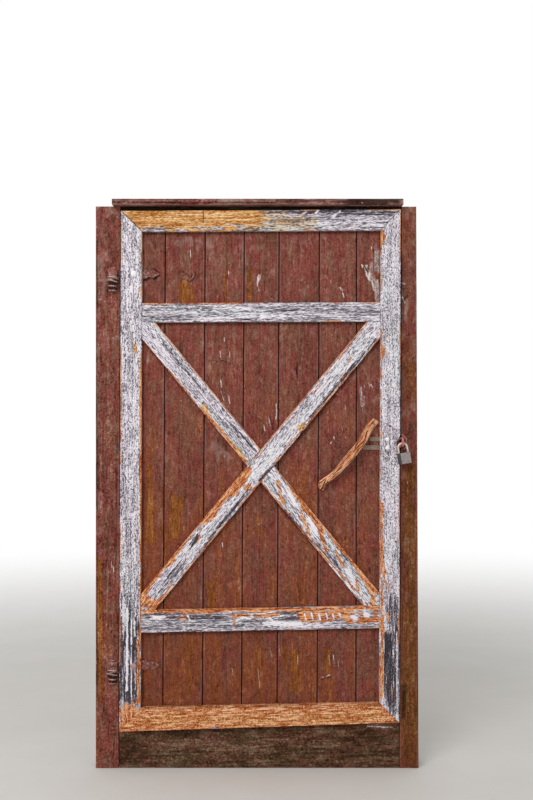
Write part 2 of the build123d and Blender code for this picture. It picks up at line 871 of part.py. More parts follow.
def facings():
    """The boards on the posts' faces, beside the leaf, from the ground to the drip board."""
    outer_left = upright(-post_outer - facing_overhang_left, -post_outer - facing_overhang_left)
    outer_right = upright(post_outer + facing_overhang_right_foot, post_outer + facing_overhang_right_head)
    inner_left = moved(left_edge, dx=-edge_gap)
    inner_right = moved(right_edge, dx=edge_gap)
    left = slab(panel(outer_left, inner_left, ground, frame_top), facing_face, post_front)
    right = slab(panel(inner_right, outer_right, ground, frame_top), facing_face, post_front)
    return ease_front(left, plank_arris, 2), ease_front(right, plank_arris, 2)


def drip_board():
    """The board over the head that sheds rain, with a bevelled nose and a drip groove under it."""
    left = left_edge[1][0] - drip_board_reach_left
    right = right_edge[1][0] + drip_board_reach_right
    front = plank_face - drip_board_projection
    back = post_front + drip_board_bearing
    board = block(left, right, front, back, frame_height, frame_height + drip_board_thickness)
    nose = board.edges().filter_by(Axis.X).sort_by(Axis.Y)[:2].sort_by(Axis.Z)[-1]
    board = chamfer(nose, drip_board_bevel)
    groove = front + drip_groove_setback
    return board - block(
        left - cut_over,
        right + cut_over,
        groove,
        groove + drip_groove_width,
        frame_height - cut_over,
        frame_height + drip_groove_depth,
    )


def sill_board():
    """The board under the leaf's foot, between the facing boards."""
    left = moved(left_edge, dx=sill_board_end_gap - edge_gap)
    right = moved(right_edge, dx=edge_gap - sill_board_end_gap)
    top = moved(foot_edge, dz=-sill_board_gap)
    return slab(panel(left, right, ground, top), plank_face + sill_board_recess, post_front)


def write(name, *shapes):
    """Writes one piece, or a group of like pieces, to its own file."""
    shape = shapes[0] if len(shapes) == 1 else Compound([s for part in shapes for s in part.solids()])
    export_step(shape, f"parts/{name}.step")


def main():
    os.makedirs("parts", exist_ok=True)

    post_left, post_right = posts()
    facing_left, facing_right = facings()
    for name, z in zip(("pintle_upper", "pintle_lower"), hinge_heights):
        iron, hole = pintle(z)
        post_left -= hole
        facing_left -= hole
        write(name, iron)
    for hole in staple_holes():
        post_right -= hole
        facing_right -= hole
    write("jamb_post_left", post_left)
    write("jamb_post_right", post_right)
    write("jamb_facing_left", facing_left)
    write("jamb_facing_right", facing_right)
    write("head_beam", beam(frame_height - head_beam_height, frame_height))
    write("sill_beam", beam(0, sill_beam_height))
    write("drip_board", drip_board())
    write("sill_board", sill_board())
    write("hinge_washers", *[hinge_washer(z) for z in hinge_heights])
    write("jamb_staple", rod(staple_path(), staple_rod_radius, staple_bend))

    for number, plank in enumerate(planks(), start=1):
        for hole in branch_screw_holes():
            plank -= hole
        write(f"plank_{number}", plank)
    for name, board in zip(("stile_left", "stile_right"), stiles()):
        write(name, board)
    for name, board in zip(("rail_top", "rail_upper", "rail_lower", "rail_bottom"), rails()):
        write(name, board)
    for name, board in zip(("brace_over", "brace_under_upper", "brace_under_lower"), braces()):
        write(name, board)
    for name, board in zip(("ledge_upper", "ledge_middle", "ledge_lower"), ledges()):
        write(name, board)
    for name, z in zip(("hinge_strap_upper", "hinge_strap_lower"), hinge_heights):
        write(name, hinge_strap(z))
    write("hinge_bolts", *[bolt(x, z, hinge_bolt_size) for x, z in hinge_bolt_places])
    write("hasp_bolts", *[bolt(x, z, hasp_bolt_size) for x, z in hasp_bolt_places])
    write("hinge_bolt_nuts", *[nut_and_washer(x, z, hinge_bolt_size) for x, z in hinge_bolt_places])
    write("hasp_bolt_nuts", *[nut_and_washer(x, z, hasp_bolt_size) for x, z in hasp_bolt_places])
    write("hasp", hasp())
    write("branch_handle", branch_handle())
    write("branch_screws", *branch_screws())

    place = padlock_place()
    write("padlock_body", place * padlock_body())
    write("padlock_cylinder", place * key_cylinder())
    write("padlock_shackle", place * shackle())


main()
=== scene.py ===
"""Weathered barn door in its timber frame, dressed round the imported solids.

Lengths are in metres in the model and in millimetres in the fields of the classes. The door's
face looks along -Y, X runs across it and Z is up.
"""

import logging
import math
from dataclasses import dataclass, field
from enum import Enum

import bpy
import numpy as np
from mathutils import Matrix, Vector


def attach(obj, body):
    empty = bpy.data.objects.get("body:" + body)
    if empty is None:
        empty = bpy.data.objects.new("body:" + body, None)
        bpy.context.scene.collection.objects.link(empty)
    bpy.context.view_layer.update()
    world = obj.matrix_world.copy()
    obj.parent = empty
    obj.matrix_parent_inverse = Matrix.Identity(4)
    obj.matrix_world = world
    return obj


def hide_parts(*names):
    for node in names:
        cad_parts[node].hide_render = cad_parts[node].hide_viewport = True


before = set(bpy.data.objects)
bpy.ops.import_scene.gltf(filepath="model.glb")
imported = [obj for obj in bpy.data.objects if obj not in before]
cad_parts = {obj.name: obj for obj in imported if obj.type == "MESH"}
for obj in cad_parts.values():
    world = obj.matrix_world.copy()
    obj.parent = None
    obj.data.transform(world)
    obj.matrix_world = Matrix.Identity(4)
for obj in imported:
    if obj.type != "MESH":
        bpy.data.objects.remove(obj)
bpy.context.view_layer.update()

MM = 0.001
FAR = 1e9
MERGE_DISTANCE = 1e-5
FLAT_ANGLE = 0.002
BUMP_STRENGTH = 0.8
RING_SIDES = 8
Spot = tuple[float, float]
Plane = tuple[np.ndarray, np.ndarray]
log = logging.getLogger("barn_door")


class Wear(Enum):
    """What a mark on a board shows; the value is its row in the board's fields."""

    BARE = 0
    GREY = 1
    WARM = 2
    CHIP = 3
    # SHADE paints shade and cast shadow into the colour, and also dark dirt, knots and holes.
    SHADE = 4
    CRACK = 5
    GROOVE = 6
    # KEPT keeps paint whole on boards; on forged iron it paints highlights on rims.
    KEPT = 7


class Weathering(Enum):
    """Noise that weathers a board: its periods across, in depth and along, shift and layers."""

    FIBRE = ((0.011, 0.03, 0.11), 0, 3)
    SLOW = ((0.09, 0.2, 0.45), 5, 2)
    RAGGED = ((0.03, 0.03, 0.05), 9, 3)
    TORN = ((0.009, 0.03, 0.045), 13, 3)
    NIBBLE = ((0.2, 0.05, 0.07), 3, 3)
    GATE = ((0.05, 0.2, 0.12), 31, 2)


@dataclass(frozen=True)
class Mark:
    """A mark in the door's plane, either wear or painted shade: a stroke from start to end, in
    millimetres.
    """

    wear: Wear
    start: Spot
    end: Spot
    half_width: float
    amount: float = 1.0

    def distance(self, x: np.ndarray, z: np.ndarray) -> np.ndarray:
        """Gives how far points are from the stroke's line.

        Args:
            x: the points' X in metres.
            z: the points' Z in metres.

        Returns:
            Their distance in millimetres.
        """
        (x0, z0), (x1, z1) = self.start, self.end
        run = np.array((x1 - x0, z1 - z0), dtype=float)
        length = max(float(run @ run), 1e-6)
        px, pz = x / MM - x0, z / MM - z0
        share = np.clip((px * run[0] + pz * run[1]) / length, 0, 1)
        return np.hypot(px - share * run[0], pz - share * run[1])

    def lowered(self, drop: float) -> "Mark":
        """Gives the same mark, lower by this many millimetres."""
        (x0, z0), (x1, z1) = self.start, self.end
        return Mark(self.wear, (x0, z0 - drop), (x1, z1 - drop), self.half_width, self.amount)


BARE, GREY, WARM, CHIP, SHADE, CRACK, GROOVE, KEPT = Wear


def strokes(wear: Wear, *rows: tuple[float | Spot, ...]) -> tuple[Mark, ...]:
    """Lays marks of one kind of wear, each row of them end to end through its spots.

    Args:
        wear: what the marks show.
        rows: for each row half its width in millimetres, how strong it is, and its spots, each
            its X and Z in millimetres.

    Returns:
        A mark for each stretch between two spots.
    """
    return tuple(
        Mark(wear, start, end, half_width, amount)
        for half_width, amount, *spots in rows
        for start, end in zip(spots, spots[1:])
    )


def ring(
    wear: Wear, half_width: float, amount: float, middle: Spot, radius: float
) -> tuple[Mark, ...]:
    """Lays marks in a circle, as painted shade round a bolt's head.

    Args:
        wear: what the marks show.
        half_width: half their width in millimetres.
        amount: how strong the wear is.
        middle: the circle's middle, in millimetres.
        radius: its radius in millimetres.

    Returns:
        The marks round the circle.
    """
    turns = [math.radians(360 / RING_SIDES * k) for k in range(RING_SIDES + 1)]
    spots = [(middle[0] + radius * math.cos(t), middle[1] + radius * math.sin(t)) for t in turns]
    return strokes(wear, (half_width, amount, *spots))


class Noise:
    """Smooth noise on scattered points, the same on every run."""

    PRIMES = (374761393, 668265263, 1274126177, 362437)
    WORD = 0xFFFFFFFF
    LAYER_SHIFT = 17.3

    def __init__(self, seed: int) -> None:
        """Keeps the seed that sets this noise apart from the others."""
        self.seed = seed

    def lattice(self, x: np.ndarray, y: np.ndarray, z: np.ndarray) -> np.ndarray:
        """Gives the lattice corners' own values.

        Args:
            x: the corners' whole numbers along X.
            y: the same along Y.
            z: the same along Z.

        Returns:
            A value between 0 and 1 for each corner.
        """
        a, b, c, d = self.PRIMES
        n = (x * a + y * b + z * c + self.seed * d) & self.WORD
        n = ((n ^ (n >> 13)) * c) & self.WORD
        n = ((n ^ (n >> 16)) * b) & self.WORD
        return (n ^ (n >> 15)) / self.WORD

    def at(self, points: np.ndarray) -> np.ndarray:
        """Gives the noise at each point.

        Args:
            points: an array of N by 3, already scaled to the noise's own period.

        Returns:
            N values between 0 and 1.
        """
        cell = np.floor(points).astype(np.int64)
        part = points - cell
        part = part * part * (3 - 2 * part)
        value = np.zeros(len(points))
        for corner in range(8):
            step = np.array((corner & 1, corner >> 1 & 1, corner >> 2 & 1))
            weight = np.prod(np.where(step, part, 1 - part), axis=1)
            value += weight * self.lattice(*(cell + step).T)
        return value

    def layered(self, points: np.ndarray, octaves: int) -> np.ndarray:
        """Gives noise with finer and fainter layers added.

        Args:
            points: an array of N by 3, scaled to the coarsest layer's period.
            octaves: how many layers there are.

        Returns:
            N values between 0 and 1.
        """
        total, weight, sum_weight = np.zeros(len(points)), 1.0, 0.0
        for octave in range(octaves):
            total += weight * self.at(points * 2**octave + self.LAYER_SHIFT * octave)
            sum_weight += weight
            weight *= 0.5
        return total / sum_weight


def smooth_step(low: float, high: float, value: np.ndarray) -> np.ndarray:
    """Gives 0 at low, 1 at high and an even curve between; low may be the larger."""
    share = np.clip((value - low) / (high - low), 0, 1)
    return share * share * (3 - 2 * share)


def linear(code: str) -> tuple[float, float, float, float]:
    """Turns a colour as written, such as C9793F, into the values that a shader takes."""
    parts = [int(code[i : i + 2], 16) / 255 for i in (0, 2, 4)]
    return (*(p / 12.92 if p <= 0.04045 else ((p + 0.055) / 1.055) ** 2.4 for p in parts), 1.0)


Socket = bpy.types.NodeSocket
Value = Socket | float | str | tuple[float, ...]


class Nodes:
    """A tree of shader nodes, wired through short calls."""

    def __init__(self, tree: bpy.types.NodeTree) -> None:
        """Empties the tree that the nodes go into."""
        self.tree = tree
        self.tree.nodes.clear()

    def feed(self, target: Socket, value: Value) -> None:
        """Wires a socket to an input, or writes a plain value on it.

        Args:
            target: the input.
            value: a socket, a number, a row of numbers or a written colour.
        """
        if isinstance(value, Socket):
            self.tree.links.new(value, target)
        else:
            target.default_value = linear(value) if isinstance(value, str) else value

    def make(self, kind: str, inputs: dict[int | str, Value], **settings: str) -> bpy.types.Node:
        """Adds a node.

        Args:
            kind: the node's kind.
            inputs: what feeds its inputs, by their places or names.
            settings: its other settings.

        Returns:
            The node.
        """
        node = self.tree.nodes.new(kind)
        for name, value in settings.items():
            setattr(node, name, value)
        for spot, value in inputs.items():
            self.feed(node.inputs[spot], value)
        return node

    def attribute(self, name: str) -> Socket:
        """Reads a vector that the mesh carries on its points."""
        return self.make("ShaderNodeAttribute", {}, attribute_name=name).outputs["Vector"]

    def place(self) -> Socket:
        """Reads the point's place in the shared frame, in metres."""
        return self.make("ShaderNodeTexCoord", {}).outputs["Object"]

    def split(self, vector: Socket) -> list[Socket]:
        """Splits a vector into its three numbers."""
        return list(self.make("ShaderNodeSeparateXYZ", {0: vector}).outputs)

    def stretched(self, vector: Socket, x: float, y: float, z: float, shift: float = 0.0) -> Socket:
        """Scales a vector to this many periods a metre along each axis, and shifts it."""
        inputs = {"Vector": vector, "Scale": (x, y, z), "Location": (shift, shift, shift)}
        return self.make("ShaderNodeMapping", inputs).outputs["Vector"]

    def noise(
        self, vector: Socket, detail: float = 4.0, rough: float = 0.55, bend: float = 0.0
    ) -> Socket:
        """Adds noise on a scaled vector: how many finer layers, how strong these are, how bent."""
        inputs = {"Scale": 1.0, "Detail": detail, "Roughness": rough, "Distortion": bend}
        return self.make("ShaderNodeTexNoise", {"Vector": vector, **inputs}).outputs["Fac"]

    def math(self, kind: str, *values: Value) -> Socket:
        """Adds a sum of this kind on numbers or sockets."""
        return self.make("ShaderNodeMath", dict(enumerate(values)), operation=kind).outputs[0]

    def plus(self, a: Value, b: Value) -> Socket:
        """Adds two values."""
        return self.math("ADD", a, b)

    def minus(self, a: Value, b: Value) -> Socket:
        """Takes b from a."""
        return self.math("SUBTRACT", a, b)

    def times(self, a: Value, b: Value) -> Socket:
        """Multiplies two values."""
        return self.math("MULTIPLY", a, b)

    def larger(self, a: Value, b: Value) -> Socket:
        """Gives the larger of two values."""
        return self.math("MAXIMUM", a, b)

    def total(self, start: Value, *terms: tuple[Socket, float]) -> Socket:
        """Adds weighted sockets.

        Args:
            start: the number that they are added to.
            terms: each socket and its weight.

        Returns:
            The sum's socket.
        """
        value = start
        for socket, weight in terms:
            value = self.math("MULTIPLY_ADD", socket, weight, value)
        return value

    def step(self, value: Value, low: float, high: float) -> Socket:
        """Maps a value to an even curve.

        Args:
            value: the value.
            low: where the curve is 0; it may be the larger.
            high: where the curve is 1.

        Returns:
            The socket of a number between 0 and 1.
        """
        ends = (high, low, 1.0, 0.0) if low > high else (low, high, 0.0, 1.0)
        inputs = dict(zip(("From Min", "From Max", "To Min", "To Max"), ends), Value=value)
        node = self.make("ShaderNodeMapRange", inputs, interpolation_type="SMOOTHSTEP")
        return node.outputs["Result"]

    def near(self, value: Socket, middle: float, outer: float, inner: float) -> Socket:
        """Gives 1 where a value is within inner of this middle, and 0 beyond outer."""
        return self.step(self.math("ABSOLUTE", self.minus(value, middle)), outer, inner)

    def ridge(self, value: Socket, half: float) -> Socket:
        """Turns noise into thin lines where it passes its middle."""
        return self.near(value, 0.5, half, half * 0.3)

    def mix(self, share: Value, a: Value, b: Value, kind: str = "MIX") -> Socket:
        """Mixes two colours, each a socket or a written code; share is how much b there is."""
        inputs = {0: share, 6: a, 7: b}
        return self.make("ShaderNodeMix", inputs, data_type="RGBA", blend_type=kind).outputs[2]

    def lay(
        self, ground: Value, top: Value, share: Value, most: float, kind: str = "MIX"
    ) -> Socket:
        """Lays a colour over another, with this share of the most that it may cover."""
        return self.mix(self.times(share, most), ground, top, kind)

    def tones(self, value: Socket, places: tuple[float, ...], codes: tuple[str, ...]) -> Socket:
        """Maps a number to a row of colours.

        Args:
            value: the number.
            places: where each colour is, in rising order.
            codes: the written colours.

        Returns:
            The colour's socket.
        """
        node = self.make("ShaderNodeValToRGB", {0: value})
        elements = node.color_ramp.elements
        for spot, (where, code) in enumerate(zip(places, codes)):
            element = elements[spot] if spot < 2 else elements.new(where)
            element.position = where
            element.color = linear(code)
        return node.outputs[0]


class Graph(Nodes):
    """A material of one surface."""

    def __init__(self, name: str) -> None:
        """Starts a material with an empty surface.

        Args:
            name: the material's name.
        """
        self.material = bpy.data.materials.new(name)
        self.material.use_nodes = True
        super().__init__(self.material.node_tree)
        self.surface = self.make("ShaderNodeBsdfPrincipled", {})
        shader = {"Surface": self.surface.outputs["BSDF"]}
        self.output = self.make("ShaderNodeOutputMaterial", shader)

    def finish(
        self, colour: Socket, rough: Value, height: Socket | None = None, depth: float = 0.0005,
        metal: float = 0.0, gloss: float = 0.3,
    ) -> bpy.types.Material:
        """Feeds the surface and returns the material.

        Args:
            colour: the colour's socket.
            rough: the roughness, a socket or a number.
            height: the relief between 0 and 1, or None.
            depth: how deep the relief is, in metres.
            metal: how metallic the surface is.
            gloss: the specular level.

        Returns:
            The finished material.
        """
        inputs = {
            "Base Color": colour, "Roughness": rough, "Metallic": metal, "Specular IOR Level": gloss
        }
        if height is not None:
            relief = {"Strength": BUMP_STRENGTH, "Distance": depth, "Height": height}
            inputs["Normal"] = self.make("ShaderNodeBump", relief).outputs["Normal"]
        for name, value in inputs.items():
            self.feed(self.surface.inputs[name], value)
        return self.material


@dataclass(frozen=True)
class CrackedWhite:
    """Old white paint, crazed along the grain, gone to grey wood and to bare orange wood."""

    slot: str = "white_paint"
    tones: tuple[str, ...] = ("FBF7FE", "E9E1EA", "AEA5B0", "69616C", "2E262A")
    wood: tuple[str, ...] = ("8C3C14", "B85E30", "D6854E", "EEA874", "FACFA6")
    ochre: tuple[str, ...] = ("96561E", "BE7E3E", "D89A56", "ECB476", "FCDAA8")
    lilac: str = "ECE4EE"
    cool: str = "E0EEEA"
    cream: str = "F6DCAE"
    # Colour of cracks, of painted shade and of the painted shadow at the paint's torn edges.
    crack: str = "2A1D1A"
    contrast: float = 1.0

    def material(self) -> bpy.types.Material:
        """Builds the paint's nodes.

        Returns:
            The finished material.
        """
        g = Graph(self.slot)
        k = self.contrast
        grain = g.attribute("grain")
        bare, grey, warm = g.split(g.attribute("wear"))
        chip, shade, edge = g.split(g.attribute("spot"))
        dash = g.noise(g.stretched(grain, 320, 110, 140), 1, 0.5, 0.8)
        hair = g.noise(g.stretched(grain, 330, 200, 190, 7.0), 2, 0.6, 0.7)
        streak = g.noise(g.stretched(grain, 240, 100, 14, 11.0), 3, 0.6, 0.5)
        broad = g.noise(g.stretched(grain, 34, 34, 9, 3.0), 2, 0.5)
        craze = g.noise(g.stretched(grain, 190, 80, 80, 19.0), 1, 0.5, 1.1)
        tatter = g.noise(g.stretched(grain, 150, 70, 38, 5.0), 4, 0.65, 0.6)

        lean = g.times(grey, g.minus(streak, 0.5))
        start = 0.482 - 0.5 * k * (1.2 + 0.9 + 0.7 + 0.2)
        worn = g.total(start, (dash, 1.2 * k), (hair, 0.9 * k), (streak, 0.7 * k), (broad, 0.2 * k))
        worn = g.total(0.0, (worn, 1.0), (grey, 0.26), (lean, 1.2))
        colour = g.tones(worn, (0.42, 0.5, 0.58, 0.69, 0.88), self.tones)
        tint = g.noise(g.stretched(grain, 26, 20, 6, 23.0), 2)
        colour = g.lay(colour, self.lilac, g.step(tint, 0.52, 0.66), 0.4, "MULTIPLY")
        colour = g.lay(colour, self.cool, g.step(tint, 0.47, 0.36), 0.5, "MULTIPLY")
        creamy = g.step(g.total(-0.3, (warm, 1.0), (tatter, 1.2)), 0.3, 0.9)
        colour = g.lay(colour, self.cream, creamy, 0.75, "MULTIPLY")
        gate = g.step(g.total(0.0, (broad, 1.0), (grey, 0.12)), 0.47, 0.6)
        line = g.times(g.ridge(craze, 0.05), gate)
        colour = g.lay(colour, self.tones[3], line, 0.75)

        fleck = g.noise(g.stretched(grain, 240, 140, 210, 1.0), 1, 0.5, 0.8)
        strand = g.noise(g.stretched(grain, 210, 110, 20, 29.0), 4, 0.65, 0.5)
        fibre = g.total(-0.9, (fleck, 1.1), (strand, 1.7))
        stops = (0.26, 0.4, 0.5, 0.6, 0.76)
        golden = g.step(g.total(-0.5, (warm, 1.0), (tatter, 1.0)), 0.3, 0.6)
        raw = g.mix(golden, g.tones(fibre, stops, self.wood), g.tones(fibre, stops, self.ochre))
        level = g.total(-2.1, (bare, 1.6), (tatter, 3.2))
        rim = g.step(g.total(0.0, (edge, 1.0), (tatter, 9.0)), 9.4, 8.2)
        peel = g.larger(g.step(level, 0.47, 0.53), g.times(rim, 0.8))
        # A painted shadow along the paint's torn edge.
        peel_edge_shadow = g.near(level, 0.4, 0.1, 0.02)
        colour = g.lay(colour, self.crack, peel_edge_shadow, 0.5)
        colour = g.mix(peel, colour, raw)
        check = g.times(g.ridge(strand, 0.012), peel)
        colour = g.lay(colour, self.wood[0], check, 0.6)
        # Darkens chips, cracks and painted shade, such as the shade round bolt heads and under
        # edges.
        colour = g.lay(colour, self.crack, g.larger(chip, shade), 0.85)

        holes = g.larger(g.step(worn, 0.46, 0.7), line)
        bared = g.times(peel, g.total(1.1, (fibre, -0.5)))
        low = g.total(0.0, (bared, 1.0), (holes, 0.6))
        rough = g.total(0.6, (peel, 0.2))
        return g.finish(colour, rough, g.minus(1.0, low), 0.0007, gloss=0.2)


@dataclass(frozen=True)
class WornPaint:
    """Thin red-brown paint over weathered grain, with rusty runs, ochre stains and torn spots."""

    slot: str = "plank_paint"
    red: tuple[str, ...] = ("42160F", "723830", "87463D", "98584D", "C09490")
    brown: tuple[str, ...] = ("3C2014", "683F30", "7E5041", "90614F", "BA9A86")
    rust: tuple[str, ...] = ("3E1607", "6C361B", "804328", "904F30", "C68C62")
    stain: tuple[str, ...] = ("4A260A", "724218", "8A5022", "A26430", "CC925C")
    haze: str = "A2867E"
    bared: tuple[str, ...] = ("5A4646", "907A7A", "BEA8A4", "DCCAC4", "F2E4DC")
    # Colour of the painted shade: shadows under rails and braces, shade in open joints, and dark
    # cracks.
    shade_and_crack: str = "160503"
    # Colour of grain checks and of the painted shadow at flakes' torn edges.
    crack: str = "341712"
    coarse: float = 1.0
    contrast: float = 1.0

    def material(self) -> bpy.types.Material:
        """Builds the paint's nodes.

        Returns:
            The finished material.
        """
        g = Graph(self.slot)
        grain = g.attribute("grain")
        _, grey, warm = g.split(g.attribute("wear"))
        chip, shade, edge = g.split(g.attribute("spot"))
        k, c = 1 / self.coarse, self.contrast
        speck = g.noise(g.stretched(grain, 235 * k, 120, 180 * k), 1, 0.5, 0.7)
        pore = g.noise(g.stretched(grain, 430, 200, 260, 9.0), 3, 0.6, 0.5)
        mottle = g.noise(g.stretched(grain, 55 * k, 50, 30 * k, 4.0), 2, 0.5, 0.8)
        streak = g.noise(g.stretched(grain, 170 * k, 80, 11 * k, 6.0), 3, 0.6, 0.5)
        broad = g.noise(g.stretched(grain, 15, 16, 4, 12.0), 2, 0.5, 0.5)
        tatter = g.noise(g.stretched(grain, 190, 90, 70, 15.0), 3, 0.65, 0.8)
        rings = g.noise(g.stretched(grain, 60, 50, 3, 26.0), 4, 0.6, 1.0)
        ticks = g.noise(g.stretched(grain, 160, 90, 34, 31.0), 2, 0.5, 0.4)

        hue = g.noise(g.stretched(grain, 26, 22, 9, 37.0), 3, 0.6, 0.9)
        weights = (0.65, 0.35, 0.4, 0.5, 0.4)
        layers = zip((speck, pore, mottle, streak, broad), (c * weight for weight in weights))
        tone = g.total(0.5 - 0.5 * c * sum(weights), *layers)
        stops = (0.18, 0.37, 0.5, 0.64, 0.88)
        lean = g.total(-1.0, (broad, 1.4), (streak, 0.9), (warm, 0.5))
        heat = g.times(g.step(lean, 0.2, 0.74), g.step(warm, 0.0, 0.25))
        red, brown, rust, stain = (
            g.tones(tone, stops, codes) for codes in (self.red, self.brown, self.rust, self.stain)
        )
        colour = g.mix(heat, g.mix(g.step(hue, 0.42, 0.6), red, brown), rust)
        stained = g.step(g.total(-1.5, (warm, 1.0), (streak, 1.6)), 0.35, 1.0)
        colour = g.mix(stained, colour, stain)
        check = g.times(g.ridge(rings, 0.006), g.step(mottle, 0.48, 0.58))
        check = g.larger(check, g.times(g.step(ticks, 0.63, 0.69), g.step(broad, 0.45, 0.55)))
        colour = g.lay(colour, self.crack, check, 0.7)

        hazy = g.step(g.total(-1.0, (grey, 1.1), (mottle, 1.8)), 0.1, 0.7)
        colour = g.lay(colour, self.haze, hazy, 0.5)
        fibre = g.total(-0.6, (speck, 0.9), (pore, 0.7), (streak, 0.8))
        pale = g.tones(fibre, (0.25, 0.4, 0.5, 0.6, 0.75), self.bared)
        weathered = g.total(-3.0, (grey, 1.6), (tatter, 3.6))
        colour = g.mix(g.step(weathered, 0.38, 0.56), colour, g.mix(0.45, pale, self.bared[0]))
        torn = g.total(-3.1, (chip, 2.7), (tatter, 4.0))
        # A painted shadow along each flake's torn edge.
        peel_edge_shadow = g.near(torn, 0.2, 0.25, 0.05)
        colour = g.lay(colour, self.crack, peel_edge_shadow, 0.8)
        flake = g.step(torn, 0.4, 0.5)
        colour = g.mix(g.times(flake, g.total(-0.1, (chip, 1.1))), colour, pale)
        rubbed = g.step(g.total(0.0, (edge, 1.0), (mottle, 4.0)), 7.6, 5.0)
        colour = g.lay(colour, self.red[4], rubbed, 0.12)
        # Painted shade and dark cracks.
        colour = g.lay(colour, self.shade_and_crack, shade, 0.95)
        low = g.total(0.0, (g.step(tone, 0.46, 0.28), 0.4), (check, 0.6), (flake, 0.4))
        rough = g.total(0.55, (pore, 0.4))
        return g.finish(colour, rough, g.minus(1.0, low), 0.0006, gloss=0.12)


@dataclass(frozen=True)
class SawnTimber:
    """Bare weathered timber with saw marks across its grain."""

    slot: str = "frame_timber"
    wood: str = "9A8266"
    silver: str = "A79C8C"
    dark: str = "4A3A2A"

    def material(self) -> bpy.types.Material:
        """Builds the timber's nodes.

        Returns:
            The finished material.
        """
        g = Graph(self.slot)
        grain = g.attribute("grain")
        fibre = g.noise(g.stretched(grain, 260, 160, 9), 5, 0.62, 0.4)
        blotch = g.noise(g.stretched(grain, 16, 16, 3, 4.0), 3, 0.55)
        rings = g.noise(g.stretched(grain, 60, 45, 2.0, 8.0), 3, 0.5, 0.7)
        saw = g.noise(g.stretched(grain, 6, 6, 330, 2.0), 2, 0.5)
        shade = g.split(g.attribute("spot"))[1]
        colour = g.mix(g.step(blotch, 0.3, 0.72), self.wood, self.silver)
        colour = g.lay(colour, self.dark, g.step(fibre, 0.46, 0.3), 0.75)
        colour = g.lay(colour, self.dark, g.ridge(rings, 0.02), 0.5)
        colour = g.lay(colour, "CDBB9D", g.step(saw, 0.55, 0.75), 0.15)
        # Painted shade in the dark gaps round the leaf, where the beams show between the boards.
        colour = g.lay(colour, "1A0D08", shade, 0.9)
        low = g.plus(g.times(fibre, 0.6), g.times(saw, 0.4))
        return g.finish(colour, 0.85, low, 0.0006, gloss=0.2)


@dataclass(frozen=True)
class BarkedBranch:
    """Barked, sun-bleached branch: pale and salmon ridges, orange hollows, dark cracks."""

    slot: str = "bare_branch"
    tones: tuple[str, ...] = ("682A10", "AC5A2E", "D08454", "ECAA80", "FAD6B8")
    hollow: str = "B4551C"
    crack: str = "5C260E"

    def material(self) -> bpy.types.Material:
        """Builds the branch's nodes.

        Returns:
            The finished material.
        """
        g = Graph(self.slot)
        grain = g.attribute("grain")
        dark, ends, ridge = g.split(g.attribute("wear"))
        fibre = g.noise(g.stretched(grain, 240, 240, 34), 4, 0.62, 0.5)
        fleck = g.noise(g.stretched(grain, 220, 220, 110, 3.0), 2, 0.6, 0.6)
        blotch = g.noise(g.stretched(grain, 30, 30, 14, 4.0), 3, 0.55)
        tone = g.total(-0.74, (fibre, 1.5), (fleck, 0.7), (ridge, 0.4))
        colour = g.tones(tone, (0.2, 0.36, 0.5, 0.62, 0.78), self.tones)
        deep = g.step(g.total(-0.1, (blotch, 0.9), (ridge, -0.5)), 0.08, 0.24)
        colour = g.lay(colour, self.hollow, deep, 0.5)
        split = g.step(g.total(0.0, (dark, 1.0), (fibre, 0.25)), 0.5, 0.8)
        colour = g.mix(split, colour, self.crack)
        colour = g.lay(colour, self.tones[3], ends, 0.7)
        return g.finish(colour, 0.85, fibre, 0.0008, gloss=0.06)


@dataclass(frozen=True)
class OldIron:
    """Forged iron under worn red-brown paint, pale on its arrises from rubbing and painted
    highlight, near black with painted shade in its hollows.
    """

    slot: str = "forged_iron"
    tones: tuple[str, ...] = ("1A0703", "522C26", "824C44", "9E6E66", "CDAFA8")
    rust: str = "8A4A2C"
    primer: str = "B4483A"
    primer_heights: tuple[float, float] = (1.868, 1.876)

    def material(self) -> bpy.types.Material:
        """Builds the iron's nodes.

        Returns:
            The finished material.
        """
        g = Graph(self.slot)
        place = g.place()
        rise_lit, dip_shade, _ = g.split(g.attribute("rubbed_and_lit"))
        height = g.split(place)[2]
        pits = g.noise(g.stretched(place, 240, 240, 240), 3, 0.6, 0.5)
        blotch = g.noise(g.stretched(place, 80, 80, 80, 5.0), 3, 0.6, 0.4)
        patch = g.noise(g.stretched(place, 110, 110, 80, 9.0), 3, 0.55)
        # Rises are paler, partly rubbed paint and partly painted highlight; dips darken with
        # painted shade.
        tone = g.total(-0.55, (pits, 1.2), (blotch, 0.9), (rise_lit, 0.5), (dip_shade, -1.0))
        colour = g.tones(tone, (0.1, 0.34, 0.5, 0.64, 0.85), self.tones)
        colour = g.lay(colour, self.rust, g.step(patch, 0.56, 0.66), 0.6)
        low, high = self.primer_heights
        band = g.times(g.step(height, low - 0.001, low), g.step(height, high + 0.001, high))
        colour = g.mix(g.times(g.times(band, 0.8), g.step(blotch, 0.42, 0.52)), colour, self.primer)
        rough = g.plus(0.45, g.times(patch, 0.35))
        return g.finish(colour, rough, g.plus(pits, blotch), 0.0004, gloss=0.25)


